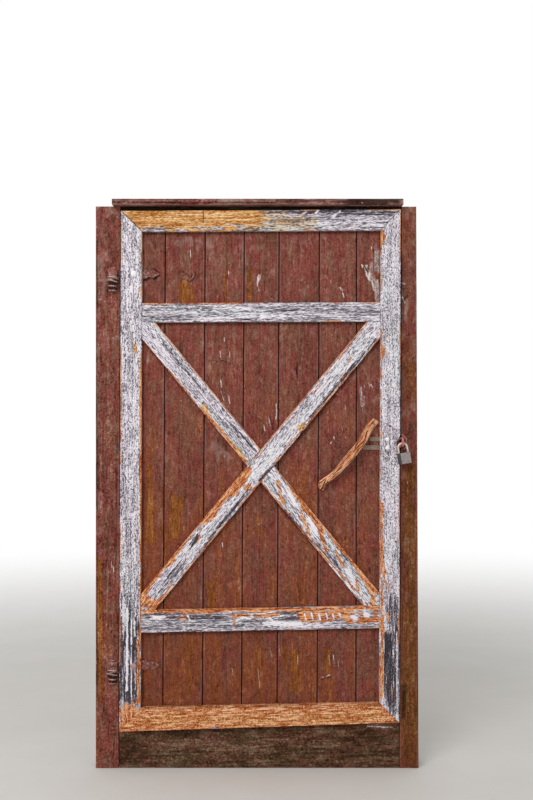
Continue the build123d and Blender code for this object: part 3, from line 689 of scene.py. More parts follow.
@dataclass(frozen=True)
class SpottedSteel:
    """Dull steel with spots of old paint and rust; its far end may have another colour, and one
    side may be darkened with painted shade.
    """

    slot: str
    steel: str
    spot: str
    dark: str
    metal: float = 0.35
    rough: float = 0.5
    grain: float = 600.0
    tail: str = "FFFFFF"
    tail_from: float = 9.0
    # Where a band of painted shade starts on the left, how it leans with height, and how soft its
    # edge is.
    side: tuple[float, float, float] = (-9.0, 0.0, 0.002)

    def material(self) -> bpy.types.Material:
        """Builds the steel's nodes.

        Returns:
            The finished material.
        """
        g = Graph(self.slot)
        place = g.place()
        rise_lit, dip_shade, _ = g.split(g.attribute("rubbed_and_lit"))
        pits = g.noise(g.stretched(place, self.grain, self.grain, self.grain), 3, 0.6)
        blotch = g.noise(g.stretched(place, 110, 90, 140, 3.0), 4, 0.6, 0.3)
        brush = g.noise(g.stretched(place, 1400, 1400, 60, 1.0), 2, 0.5)
        along = g.split(place)[0]
        ground = g.mix(g.step(along, self.tail_from, self.tail_from + 0.01), self.steel, self.tail)
        spotted = g.step(g.total(0.0, (blotch, 1.0), (rise_lit, 0.1)), 0.54, 0.64)
        colour = g.mix(spotted, ground, self.spot)
        colour = g.lay(colour, self.dark, g.step(pits, 0.56, 0.72), 0.5)
        colour = g.lay(colour, self.dark, g.step(blotch, 0.44, 0.34), 0.7)
        # Paler on rises: rubbed metal and painted highlight.
        colour = g.lay(colour, "F4E6DC", g.step(rise_lit, 0.25, 0.7), 0.35)
        # Painted shade in the hollows.
        colour = g.lay(colour, self.dark, g.step(dip_shade, 0.2, 0.7), 0.8)
        colour = g.lay(colour, "FFFFFF", brush, 0.12)
        # A band of painted shade on the left side, left of a leaning line.
        start, lean, soft = self.side
        beyond = g.total(-start, (along, 1.0), (g.split(place)[2], lean))
        colour = g.lay(colour, self.dark, g.step(beyond, soft, -soft), 0.92)
        rough = g.plus(self.rough - 0.1, g.times(blotch, 0.3))
        return g.finish(colour, rough, pits, 0.0002, self.metal, 0.4)


@dataclass(frozen=True)
class PaintedBolt:
    """Thick paint over a bolt's head, cream above and dull pink on the lower hinge, with painted
    shade where it dips.
    """

    slot: str = "painted_bolt"

    def material(self) -> bpy.types.Material:
        """Builds the paint's nodes.

        Returns:
            The finished material.
        """
        g = Graph(self.slot)
        place = g.place()
        height = g.split(place)[2]
        _, dip_shade, _ = g.split(g.attribute("rubbed_and_lit"))
        skin = g.noise(g.stretched(place, 260, 260, 260), 4, 0.6)
        colour = g.mix(g.step(height, 0.5, 0.9), "B98A86", "FEFCFE")
        colour = g.lay(colour, "C9B8B4", g.step(skin, 0.6, 0.72), 0.25)
        colour = g.lay(colour, "8A7876", g.step(skin, 0.34, 0.24), 0.3)
        # Painted shade in the hollows round the head's foot.
        colour = g.mix(g.step(dip_shade, 0.15, 0.6), colour, "4A3A36")
        return g.finish(colour, g.plus(0.35, g.times(skin, 0.3)), skin, 0.0004, gloss=0.4)


def fresh_selection(piece: bpy.types.Object | None = None) -> None:
    """Leaves only this piece selected and active.

    Args:
        piece: the object, or None to leave nothing selected.
    """
    bpy.ops.object.select_all(action="DESELECT")
    if piece is not None:
        piece.select_set(True)
        bpy.context.view_layer.objects.active = piece


def merged_copy(node: str, name: str) -> bpy.types.Object:
    """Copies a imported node's mesh into a new object and merges its loose triangles.

    Args:
        node: the node's name.
        name: the new object's name.

    Returns:
        The new object, closed and selected.
    """
    piece = bpy.data.objects.new(name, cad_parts[node].data.copy())
    bpy.context.scene.collection.objects.link(piece)
    fresh_selection(piece)
    bpy.ops.object.mode_set(mode="EDIT")
    bpy.ops.mesh.select_all(action="SELECT")
    bpy.ops.mesh.remove_doubles(threshold=MERGE_DISTANCE)
    bpy.ops.mesh.dissolve_limited(angle_limit=FLAT_ANGLE)
    bpy.ops.object.mode_set(mode="OBJECT")
    return piece


def points_of(piece: bpy.types.Object, what: str = "co") -> np.ndarray:
    """Reads a vector from each of a mesh's points.

    Args:
        piece: the object.
        what: co for the points' places, normal for their normals.

    Returns:
        An array of N by 3.
    """
    flat = np.empty(len(piece.data.vertices) * 3)
    piece.data.vertices.foreach_get(what, flat)
    return flat.reshape(-1, 3)


def set_points(piece: bpy.types.Object, points: np.ndarray) -> None:
    """Writes a mesh's points back."""
    piece.data.vertices.foreach_set("co", np.ascontiguousarray(points, dtype=float).ravel())
    piece.data.update()


def set_vector(piece: bpy.types.Object, name: str, *columns: np.ndarray) -> None:
    """Stores a vector, given as its three columns, on each of a mesh's points."""
    layer = piece.data.attributes.new(name, "FLOAT_VECTOR", "POINT")
    layer.data.foreach_set("vector", np.column_stack(columns).astype(np.float32).ravel())


def even_skin(piece: bpy.types.Object, size: float) -> None:
    """Gives a piece a closed skin of even small faces.

    Args:
        piece: the object.
        size: the length of a face's side in metres.
    """
    skin = piece.modifiers.new("even_skin", "REMESH")
    skin.mode = "VOXEL"
    skin.voxel_size = size
    fresh_selection(piece)
    bpy.ops.object.modifier_apply(modifier=skin.name)


def soften(piece: bpy.types.Object, angle: float) -> None:
    """Shades a piece smooth, but for the edges sharper than this angle in degrees."""
    fresh_selection(piece)
    bpy.ops.object.shade_smooth_by_angle(angle=math.radians(angle))


def rubbed_and_lit(piece: bpy.types.Object, size: float, marks: tuple[Mark, ...], rounds: int = 2) -> None:
    """Stores how far each point of an even skin stands out of the skin round it, or lies in it, for
    painted highlights with rubbing on the rises and painted shade in the hollows.

    Args:
        piece: the object, made of even small faces.
        size: the length of a face's side in metres.
        marks: places painted with a highlight (kept) or with shade (shade) beyond that.
        rounds: how many times the values are spread to the points beside.
    """
    points, normals = points_of(piece), points_of(piece, "normal")
    ends = np.empty(len(piece.data.edges) * 2, dtype=np.int64)
    piece.data.edges.foreach_get("vertices", ends)
    a, b = ends.reshape(-1, 2).T
    count = np.bincount(np.concatenate((a, b)), minlength=len(points)).clip(1)[:, None]

    def around(values: np.ndarray) -> np.ndarray:
        """Gives the mean of each point's neighbours.

        Args:
            values: a row for each point.

        Returns:
            The means, a row for each point.
        """
        total = np.zeros_like(values)
        np.add.at(total, a, values[b])
        np.add.at(total, b, values[a])
        return total / count

    bow = ((points - around(points)) * normals).sum(axis=1)[:, None] / size
    for _ in range(rounds):
        bow = 0.5 * bow + 0.5 * around(bow)
    bow = bow[:, 0]
    # Rises get a pale highlight, partly rubbing and partly painted light; hollows get painted
    # shade.
    table = {KEPT: np.clip(bow * 5, 0, 1), SHADE: np.clip(-bow * 5, 0, 1)}
    for mark in marks:
        gap, width = mark.distance(points[:, 0], points[:, 2]), mark.half_width
        level = mark.amount * smooth_step(width * 1.2, width * 0.6, gap)
        other = KEPT if mark.wear is SHADE else SHADE
        table[other] = table[other] * (1 - np.clip(level, 0, 1))
        table[mark.wear] = np.maximum(table[mark.wear], level)
    set_vector(piece, "rubbed_and_lit", table[KEPT], table[SHADE], np.zeros(len(points)))


def dress(piece: bpy.types.Object, finish: object, body: str, *nodes: str) -> None:
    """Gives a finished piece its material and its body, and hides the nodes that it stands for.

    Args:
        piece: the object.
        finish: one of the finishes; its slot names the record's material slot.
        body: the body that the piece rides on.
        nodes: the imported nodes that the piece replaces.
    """
    piece.data.materials.clear()
    piece.data.materials.append(FINISHES[finish])
    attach(piece, body)
    if nodes:
        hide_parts(*nodes)
    log.info("%s: %d faces on %s", piece.name, len(piece.data.polygons), body)


@dataclass
class Lie:
    """Where the points of a cut board lie; lengths are in metres.

    The points' own places, the grain's unit direction, and for each point how far it is along the
    grain, across it, behind the front, before the back and from the nearest arris, and which way
    leads away from that arris.
    """

    points: np.ndarray
    grain: np.ndarray
    along: np.ndarray
    across: np.ndarray
    deep: np.ndarray
    high: np.ndarray
    gap: np.ndarray
    away: np.ndarray


@dataclass
class Board:
    """A board copied from its node, cut into a fine grid and weathered inwards."""

    node: str
    body: str
    finish: object
    seed: int
    along_step: float = 12.0
    across_step: float = 3.0
    ridge: float = 0.35
    wave: float = 0.5
    nibble: float = 0.8
    chipping: float = 1.6
    grey: tuple[float, float] = (0.3, 0.3)
    warm: tuple[float, float] = (0.0, 0.0)
    # shades are marks of painted shadow cast by boards in front, and of painted shade in gaps.
    shades: tuple[Mark, ...] = ()
    marks: tuple[Mark, ...] = ()
    rim: float = 0.5
    rim_width: float = 4.5
    # joints paints shade into the open joints beside the board.
    joints: bool = False
    lengthen: float = 1.0
    through: bool = False
    shortest_arris: float = 15.0
    thin_mark: float = 5.0
    thin_cuts: int = 2
    depth_cuts: tuple[float, ...] = (0.15, 0.5, 0.85)
    mark_reach: float = 20.0
    bare_depth: float = 0.6
    chip_depth: float = 0.4
    crack_depth: float = 3.2
    groove_depth: float = 1.0
    arris_reach: float = 5.0
    rim_reach: float = 9.0
    sharp: float = 35.0

    def outline(self, piece: bpy.types.Object) -> np.ndarray:
        """Finds the arrises round the board's front face.

        Args:
            piece: the merged copy, before it is cut.

        Returns:
            An array of M segments, each x0, z0, x1, z1 in metres.
        """
        mesh = piece.data
        front = min(v.co.y for v in mesh.vertices)
        faces = [p for p in mesh.polygons if p.normal.y < -0.99 and abs(p.center.y - front) < 1e-4]
        count: dict[tuple[int, int], int] = {}
        for face in faces:
            for key in face.edge_keys:
                count[key] = count.get(key, 0) + 1
        rows = []
        for (a, b), times in count.items():
            p, q = mesh.vertices[a].co, mesh.vertices[b].co
            if times == 1 and (p - q).length > self.shortest_arris * MM:
                rows.append((p.x, p.z, q.x, q.z))
        return np.array(rows)

    def nearest(
        self, segments: np.ndarray, x: np.ndarray, z: np.ndarray
    ) -> tuple[np.ndarray, np.ndarray]:
        """Finds each point's nearest arris.

        Args:
            segments: the arrises.
            x: the points' X.
            z: the points' Z.

        Returns:
            The distance in metres, and an N by 2 array of the unit direction away from the arris.
        """
        best = np.full(len(x), FAR)
        away = np.zeros((len(x), 2))
        middle = (segments[:, :2] + segments[:, 2:]).mean(axis=0) / 2
        for x0, z0, x1, z1 in segments:
            dx, dz = x1 - x0, z1 - z0
            share = np.clip(((x - x0) * dx + (z - z0) * dz) / (dx * dx + dz * dz), 0, 1)
            gap = np.hypot(x - x0 - share * dx, z - z0 - share * dz)
            side = np.array((-dz, dx)) / math.hypot(dx, dz)
            if side @ (middle - (x0, z0)) < 0:
                side = -side
            closer = gap < best
            best = np.where(closer, gap, best)
            away[closer] = side
        return best, away

    def planes(
        self, points: np.ndarray, origin: np.ndarray, along: np.ndarray
    ) -> list[Plane]:
        """Lists the upright planes that cut the board: a grid, and three along each crack.

        Args:
            points: the board's points.
            origin: a point in the door's plane from which the grid counts.
            along: the unit direction of the grain in the door's plane.

        Returns:
            A spot and a direction in the door's plane for each.
        """
        flat = points[:, [0, 2]] - origin
        across = np.array((along[1], -along[0]))
        planes = []
        for direction, step in ((along, self.along_step * MM), (across, self.across_step * MM)):
            reach = flat @ direction
            for k in range(1, int((reach.max() - reach.min()) / step)):
                planes.append((origin + direction * (reach.min() + k * step), direction))
        for mark in self.marks:
            if mark.wear in (CRACK, GROOVE):
                run = np.array(mark.end, dtype=float) - mark.start
                side = np.array((-run[1], run[0])) / np.hypot(*run)
                for shift in (-1, 0, 1):
                    spot = np.array(mark.start) + side * shift * mark.half_width
                    planes.append((spot * MM, side))
        return planes

    def cut(self, piece: bpy.types.Object, origin: np.ndarray, along: np.ndarray) -> None:
        """Cuts the board into a grid that follows its grain, and along each crack.

        Args:
            piece: the merged copy.
            origin: a point in the door's plane from which the grid counts.
            along: the unit direction of the grain in the door's plane.
        """
        points = points_of(piece)
        front, back = points[:, 1].min(), points[:, 1].max()
        fresh_selection(piece)
        bpy.ops.object.mode_set(mode="EDIT")
        for (x, z), (nx, nz) in self.planes(points, origin, along):
            bpy.ops.mesh.select_all(action="SELECT")
            bpy.ops.mesh.bisect(plane_co=(x, 0, z), plane_no=(nx, 0, nz))
        for share in self.depth_cuts:
            bpy.ops.mesh.select_all(action="SELECT")
            bpy.ops.mesh.bisect(plane_co=(0, front + share * (back - front), 0), plane_no=(0, 1, 0))
        bpy.ops.object.mode_set(mode="OBJECT")
        self.refine(piece)

    def refine(self, piece: bpy.types.Object) -> None:
        """Divides the front's faces under the thin marks, so that they come out crisp.

        Args:
            piece: the cut board.
        """
        mesh = piece.data
        centre = np.empty(len(mesh.polygons) * 3)
        mesh.polygons.foreach_get("center", centre)
        x, y, z = centre.reshape(-1, 3).T
        chosen = np.zeros(len(x), dtype=bool)
        for mark in self.marks:
            if mark.half_width < self.thin_mark:
                chosen |= mark.distance(x, z) < mark.half_width + 0.5 * self.along_step
        chosen &= y < y.min() + 1.5 * MM
        fresh_selection(piece)
        bpy.ops.object.mode_set(mode="EDIT")
        bpy.ops.mesh.select_all(action="DESELECT")
        bpy.ops.object.mode_set(mode="OBJECT")
        mesh.polygons.foreach_set("select", chosen)
        bpy.ops.object.mode_set(mode="EDIT")
        if chosen.any():
            bpy.ops.mesh.subdivide(number_cuts=self.thin_cuts)
        bpy.ops.object.mode_set(mode="OBJECT")

    def fields(
        self, x: np.ndarray, z: np.ndarray, near: np.ndarray, share: np.ndarray, ragged: np.ndarray
    ) -> np.ndarray:
        """Gathers the board's marks into one row for each kind of wear.

        Args:
            x: the points' X in metres.
            z: the points' Z in metres.
            near: 1 at the board's front, which has the marks, and 0 at its back.
            share: how far each point is along the board, from 0 to 1.
            ragged: noise between 0 and 1 that tears the marks' edges along the grain.

        Returns:
            An array with a row for each kind of wear and a column for each point.
        """
        table = np.zeros((len(Wear), len(x)))
        table[GREY.value] = self.grey[0] + (self.grey[1] - self.grey[0]) * share
        table[WARM.value] = self.warm[1] + (self.warm[0] - self.warm[1]) * (1 - share) ** 1.4
        for mark in self.marks + self.shades:
            gap, width, row = mark.distance(x, z), mark.half_width, mark.wear.value
            if mark.wear in (CRACK, GROOVE):
                level = np.clip(1 - gap / width, 0, 1)
            else:
                gap = gap + (ragged - 0.5) * min(6 + 0.9 * width, 0.5 + 1.5 * width)
                soft = min(3.5, 0.4 + 0.6 * width)
                level = smooth_step(width * 1.15 + soft, width * 0.75 - soft, gap)
            table[row] = np.maximum(table[row], mark.amount * level * near)
        kept = np.clip(table[KEPT.value], 0, 1)
        table[BARE.value] *= 1 - kept
        table[GREY.value] -= (1.2 + table[GREY.value]) * kept
        return table

    def grain_line(self, arrises: np.ndarray) -> tuple[np.ndarray, np.ndarray]:
        """Finds the longest arris, which the grain follows.

        Args:
            arrises: the arrises round the front face.

        Returns:
            The arris's start and its unit direction, in the door's plane.
        """
        runs = np.hypot(arrises[:, 2] - arrises[:, 0], arrises[:, 3] - arrises[:, 1])
        longest = arrises[int(np.argmax(runs))]
        along = (longest[2:] - longest[:2]) / runs.max()
        if along[int(np.argmax(np.abs(along)))] < 0:
            return longest[2:], -along
        return longest[:2], along

    def moved(self, lie: Lie, table: np.ndarray, noises: list[np.ndarray]) -> np.ndarray:
        """Presses the wear and the grain into the board, and nibbles its arrises.

        Args:
            lie: where the board's points lie.
            table: the board's fields.
            noises: the weathering's noises, in their order.

        Returns:
            The points' new places, inside the board's old box.
        """
        fibre, slow, ragged, _, nibbled, _ = noises
        grained = self.ridge * fibre + self.wave * slow
        worn = self.bare_depth * table[BARE.value] + self.chip_depth * table[CHIP.value]
        depth = grained + worn
        depth += self.crack_depth * table[CRACK.value] + self.groove_depth * table[GROOVE.value]
        arris = np.clip(1 - lie.gap / (self.arris_reach * MM), 0, 1) ** 2
        depth += self.chipping * arris * smooth_step(0.5, 0.78, ragged)
        at_front = smooth_step(4 * MM, 1.4 * MM, lie.deep)
        at_back = smooth_step(2 * MM, 0.5 * MM, lie.high) * (1 - at_front)
        moved = lie.points.copy()
        moved[:, 1] += depth * MM * at_front - grained * MM * at_back
        rim = np.clip(1 - lie.gap / (self.rim_reach * MM), 0, 1)
        inward = self.nibble * nibbled
        inward += self.chipping * 0.5 * smooth_step(0.6, 0.85, ragged) * at_front
        moved[:, 0] += lie.away[:, 0] * inward * rim * MM
        moved[:, 2] += lie.away[:, 1] * inward * rim * MM
        return np.clip(moved, lie.points.min(axis=0), lie.points.max(axis=0))

    def dirt_and_shade(self, lie: Lie, table: np.ndarray) -> np.ndarray:
        """Finds how dark the board is in its cracks, under its painted shade marks and in its open
        joints, where shade is painted.

        Args:
            lie: where the board's points lie.
            table: the board's fields.

        Returns:
            A number for each point.
        """
        shade = np.maximum(table[SHADE.value], table[CRACK.value])
        shade = np.maximum(shade, 0.6 * table[GROOVE.value])
        # Painted shade on the sides of open joints and on the tongue deep inside them.
        if self.joints:
            inside = smooth_step(1.2 * MM, 3.5 * MM, lie.deep)
            slit_shade = inside * smooth_step(3.2 * MM, 2.2 * MM, lie.gap)
            tongue_shade = inside * smooth_step(5 * MM, 7 * MM, lie.high)
            tongue_shade = tongue_shade * smooth_step(14 * MM, 12 * MM, lie.gap)
            shade = np.maximum(shade, np.maximum(slit_shade, tongue_shade))
        return shade

    def worn_edge(self, lie: Lie, arrises: np.ndarray, gate: np.ndarray) -> np.ndarray:
        """Finds how near each point is to an arris along the grain that is worn bare.

        Args:
            lie: where the board's points lie.
            arrises: the arrises round the front face.
            gate: noise that leaves some stretches of them painted.

        Returns:
            A number for each point, 0 on a worn arris and larger away from it.
        """
        runs = np.hypot(arrises[:, 2] - arrises[:, 0], arrises[:, 3] - arrises[:, 1])
        lengthwise = np.abs((arrises[:, 2:] - arrises[:, :2]) @ lie.grain) > 0.9 * runs
        beside, _ = self.nearest(arrises[lengthwise], lie.points[:, 0], lie.points[:, 2])
        edge = beside / MM * 4.5 / self.rim_width
        edge += 20 * (1 - smooth_step(30 * MM, 24 * MM, lie.deep))
        edge += 6 * smooth_step(self.rim - 0.06, self.rim + 0.06, gate)
        return edge

    def build(self) -> None:
        """Makes the board and dresses it."""
        piece = merged_copy(self.node, f"{self.node}_weathered")
        arrises = self.outline(piece)
        origin, grain = self.grain_line(arrises)
        self.cut(piece, origin, grain)

        points = points_of(piece)
        x, y, z = points.T
        flat = points[:, [0, 2]] - origin
        along, across = flat @ grain, flat @ np.array((grain[1], -grain[0]))
        lie = Lie(
            points, grain, along, across, y - y.min(), y.max() - y, *self.nearest(arrises, x, z)
        )
        noise, grid = Noise(self.seed), np.column_stack((across, y, along))
        noises = [
            noise.layered(grid / periods + self.seed * 7.31 + shift, octaves)
            for periods, shift, octaves in (pattern.value for pattern in Weathering)
        ]
        reach = min(0.8 * lie.deep.max(), self.mark_reach * MM)
        near = np.ones(len(y)) if self.through else smooth_step(reach, 0.7 * reach, lie.deep)
        share = (along - along.min()) / (along.max() - along.min())
        table = self.fields(x, z, near, share, np.clip(1.8 * noises[3] - 0.4, 0, 1))
        set_points(piece, self.moved(lie, table, noises))

        shift = self.seed * 0.371
        stretched = along / self.lengthen
        set_vector(piece, "grain", across + shift, y + 2 * shift, stretched + 3 * shift)
        set_vector(piece, "wear", *table[:3])
        edge = self.worn_edge(lie, arrises, noises[5])
        set_vector(piece, "spot", table[CHIP.value], self.dirt_and_shade(lie, table), edge)
        soften(piece, self.sharp)
        dress(piece, self.finish, self.body, self.node)


# Where each board is worn, and where shade and shadow are painted on it (the SHADE rows, with dark
# dirt and knots). A row has half its width, its strength and its spots.
PLANK_MARKS: dict[int, tuple[Mark, ...]] = {
    1: (
        *strokes(WARM, (14, 1.7, (-414, 1121), (-414, 854)), (9, 1.1, (-395, 557), (-395, 256))),
        # Painted shadow round the hinge strap's spear end.
        *strokes(
            SHADE, (1.8, 0.9, (-442, 1875), (-425, 1878)),
            (1.8, 0.8, (-425, 1878), (-414, 1870), (-400, 1878), (-374, 1860)),
            (2.2, 1, (-374, 1855), (-399, 1837), (-414, 1845), (-425, 1835), (-442, 1835)),
        ),
        *strokes(GREY, (7, 0.9, (-421, 1545), (-419, 1527))),
        *strokes(CHIP, (1.6, 0.8, (-417, 1463), (-414, 1440))),
    ),
    2: (
        *strokes(
            CHIP, (2.8, 1.2, (-262, 1946), (-261, 1914)), (2, 0.8, (-267, 1974), (-259, 1959)),
            (2, 0.8, (-267, 1834), (-250, 1850)), (2, 0.9, (-297, 1384), (-297, 1357)),
            (1.5, 0.7, (-308, 1297), (-293, 1286)), (1.4, 0.6, (-286, 955), (-286, 895)),
        ),
        *strokes(GREY, (20, 0.4, (-312, 1986), (-236, 1972))),
        *strokes(
            SHADE, (1.6, 0.9, (-306, 1865), (-297, 1871), (-286, 1861)),
            (1.6, 0.9, (-290, 1850), (-274, 1859), (-267, 1848)),
            (2, 0.8, (-308, 1858), (-290, 1868), (-276, 1856)),
            (1.8, 0.9, (-262, 1842), (-255, 1852)),
            (2, 1, (-271, 1829), (-252, 1835), (-241, 1855), (-246, 1867)),
            (1.5, 0.8, (-297, 1837), (-278, 1840)), (1.6, 0.9, (-331, 1754), (-320, 1762)),
            (1.4, 0.8, (-335, 1008), (-331, 963)),
        ),
        *strokes(
            WARM, (22, 1.7, (-286, 1820), (-282, 1752)), (12, 1.6, (-259, 1797), (-256, 1752)),
            (3, 1.8, (-217, 1824), (-217, 1748)), (30, 1.6, (-316, 1000), (-316, 895)),
            (16, 1.4, (-353, 895), (-357, 670)), (16, 1.3, (-263, 482), (-259, 294)),
        ),
    ),
    3: (
        *strokes(
            CHIP, (2.7, 1, (-119, 1867), (-118, 1855)), (2, 1, (-150, 1568), (-149, 1545)),
            (2, 1, (-115, 1568), (-114, 1545)), (1.6, 0.9, (-135, 1619), (-133, 1602)),
            (1.6, 0.8, (-196, 1500), (-192, 1512)), (1.5, 0.8, (-181, 1521), (-169, 1530)),
            (1.5, 0.8, (-117, 1517), (-98, 1508)), (2.3, 1, (-149, 1459), (-145, 1433)),
            (2.3, 1, (-147, 1418), (-137, 1384)), (1.9, 1, (-119, 1399), (-113, 1369)),
            (1.5, 0.9, (-128, 1384), (-124, 1357)), (1.9, 1, (-143, 848), (-140, 831)),
            (2, 0.9, (-134, 1176), (-133, 1170)), (1.4, 0.7, (-105, 377), (-102, 347)),
        ),
        *strokes(
            GREY, (18, 0.4, (-205, 1975), (-150, 1930)), (20, 0.45, (-180, 1215), (-120, 1168)),
        ),
        *strokes(
            WARM, (5, 1.6, (-132, 1865), (-132, 1752)), (3, 1.8, (-134, 1181), (-133, 1166)),
            (20, 1.6, (-181, 689), (-181, 625)), (12, 1.2, (-165, 482), (-169, 256)),
        ),
        *strokes(GROOVE, (1.2, 0.8, (-127, 2015), (-127, 234))),
        *strokes(
            SHADE, (1.3, 0.7, (-137, 1786), (-134, 1760)),
            (1.3, 0.8, (-169, 1525), (-143, 1532), (-113, 1523)),
            (1.2, 0.7, (-196, 1530), (-181, 1534)), (1.4, 0.7, (-134, 1429), (-128, 1388)),
            (1.4, 0.8, (-203, 670), (-199, 632)),
        ),
    ),
    4: (
        *strokes(
            CHIP, (5.3, 1.1, (-5, 1850), (-8, 1820), (-5, 1793)),
            (1.4, 0.8, (34, 1769), (52, 1763)), (1.5, 0.6, (-49, 1902), (-45, 1887)),
            (2.7, 0.9, (60, 1369), (62, 1339), (60, 1312)), (2, 0.9, (7, 1309), (19, 1267)),
            (1.6, 0.9, (-6, 1324), (4, 1312)), (1.7, 0.8, (30, 1331), (39, 1282)),
            (1.6, 0.8, (-30, 1233), (-15, 1207)), (1.9, 0.8, (-34, 1331), (-23, 1324)),
            (1.6, 0.8, (-15, 914), (7, 922)), (1.6, 0.8, (-8, 377), (0, 294)),
        ),
        *strokes(
            WARM, (12, 1.6, (-34, 1869), (-41, 1797), (-30, 1767)), (8, 1.5, (-11, 940), (-4, 873)),
            (9, 1.5, (-8, 444), (-4, 256)),
        ),
        *strokes(GROOVE, (1.2, 0.8, (-1, 2015), (-1, 234))),
        *strokes(
            SHADE, (1.5, 0.8, (-49, 1801), (-43, 1790)), (1.3, 0.9, (30, 1778), (49, 1769)),
            (1.5, 0.9, (-2, 1316), (13, 1294), (9, 1256)), (1.3, 0.8, (37, 1324), (49, 1271)),
            (1.4, 0.8, (-38, 1248), (-23, 1226)), (1.3, 0.7, (-41, 1339), (-19, 1309)),
            (1.3, 0.8, (7, 865), (11, 782)),
        ),
    ),
    5: (
        *strokes(GROOVE, (1.2, 0.5, (146, 2015), (146, 234))),
        *strokes(
            SHADE, (3.4, 1, (135, 1502), (138, 1485)), (1.4, 0.8, (139, 1527), (141, 1466)),
            (1.3, 0.7, (94, 1512), (98, 1466)), (3, 0.55, (141, 700), (150, 632)),
        ),
        *strokes(GREY, (16, 0.35, (105, 1985), (185, 1978))),
        *strokes(
            CHIP, (1.4, 0.7, (149, 1508), (149, 1493)), (1.5, 0.8, (109, 425), (120, 377)),
            (1.4, 0.8, (139, 444), (143, 392)), (1.4, 0.8, (161, 422), (184, 429)),
            (1.4, 0.7, (71, 463), (75, 422)), (1.4, 0.7, (124, 354), (128, 294)),
        ),
        *strokes(
            WARM, (9, 1.1, (146, 707), (154, 632)), (26, 1.5, (131, 425), (135, 294)),
            (12, 1.4, (90, 482), (94, 377)),
        ),
    ),
    6: (
        *strokes(
            CHIP, (2, 0.8, (264, 1848), (267, 1824)), (3, 1, (301, 1807), (310, 1795)),
            (2, 1, (310, 1786), (316, 1771)), (1.5, 0.8, (323, 1846), (325, 1824)),
            (1.4, 0.8, (319, 1388), (321, 1350)), (1.9, 0.8, (287, 1410), (292, 1403)),
            (1.5, 0.6, (274, 1384), (278, 1369)), (1.7, 1, (265, 1222), (271, 1229)),
            (1.7, 1, (277, 1245), (279, 1240)), (1.6, 0.9, (306, 1282), (312, 1269)),
            (1.4, 0.7, (316, 1256), (327, 1230)), (1.7, 1, (276, 425), (280, 377)),
            (1.5, 0.9, (259, 425), (263, 388)), (1.7, 1, (233, 341), (267, 352)),
            (1.4, 0.7, (293, 407), (295, 380)),
        ),
        *strokes(
            SHADE, (1.3, 0.8, (289, 1816), (321, 1808)), (1.2, 0.6, (346, 1854), (349, 1824)),
            (1.3, 0.9, (278, 1226), (301, 1211)), (1.3, 0.8, (282, 1209), (304, 1205)),
            (1.2, 0.7, (289, 1260), (297, 1241)), (1.2, 0.8, (229, 333), (267, 344)),
        ),
        *strokes(
            WARM, (2.5, 1.7, (320, 1391), (321, 1346)), (14, 1.7, (255, 444), (255, 362)),
            (10, 1.3, (267, 339), (270, 256)),
        ),
    ),
    7: (
        *strokes(
            GREY, (13, 1.5, (436, 1938), (436, 1876)), (6, 1.3, (419, 1902), (421, 1869)),
            (9, 1.4, (428, 1842), (443, 1797), (444, 1760)), (8, 1.05, (381, 1429), (385, 1369)),
        ),
        *strokes(
            SHADE, (1.2, 0.5, (428, 1930), (430, 1885)), (2.6, 1, (394, 1881), (406, 1866)),
            (1.5, 0.9, (378, 1895), (379, 1880)), (1.2, 0.8, (436, 1429), (437, 1406)),
        ),
        *strokes(
            CHIP, (1.6, 1, (419, 1964), (419, 1949)), (1.6, 1, (430, 1966), (431, 1948)),
            (2.7, 1.2, (382, 1893), (401, 1887)), (5, 1.2, (386, 1889), (400, 1868), (415, 1855)),
            (5.6, 1.1, (400, 1857), (419, 1829), (428, 1800)),
            (2.7, 0.9, (413, 1850), (440, 1835), (445, 1808)), (1.6, 0.7, (432, 1805), (440, 1767)),
            (2.5, 0.9, (378, 1429), (383, 1399)), (2, 0.7, (391, 1444), (392, 1391)),
            (3, 1, (417, 1442), (424, 1429)), (1.5, 0.8, (408, 1446), (413, 1436)),
            (1.5, 0.7, (383, 1365), (387, 1339)),
        ),
        *strokes(WARM, (7, 1.6, (384, 1890), (402, 1868))),
    ),
}
# Painted shadows under the rails, beside the stiles and under the braces' lower edges.
PLANK_SHADES = (
    *strokes(
        SHADE, (6, 0.45, (-450, 2011), (455, 2015)), (6, 0.45, (-450, 1669), (455, 1673)),
        (6, 0.4, (-450, 506), (455, 526)), (3.4, 0.6, (-440, 250), (-440, 2014)),
        (2.6, 0.6, (450, 250), (450, 2014)), (5, 0.6, (-439, 1606), (-44, 1146)),
        (5, 0.6, (0, 1066), (400, 616)), (5, 0.6, (440, 1598), (184, 1290), (64, 1150)),
        (5, 0.6, (-12, 1058), (-196, 842), (-392, 604)),
    ),
)
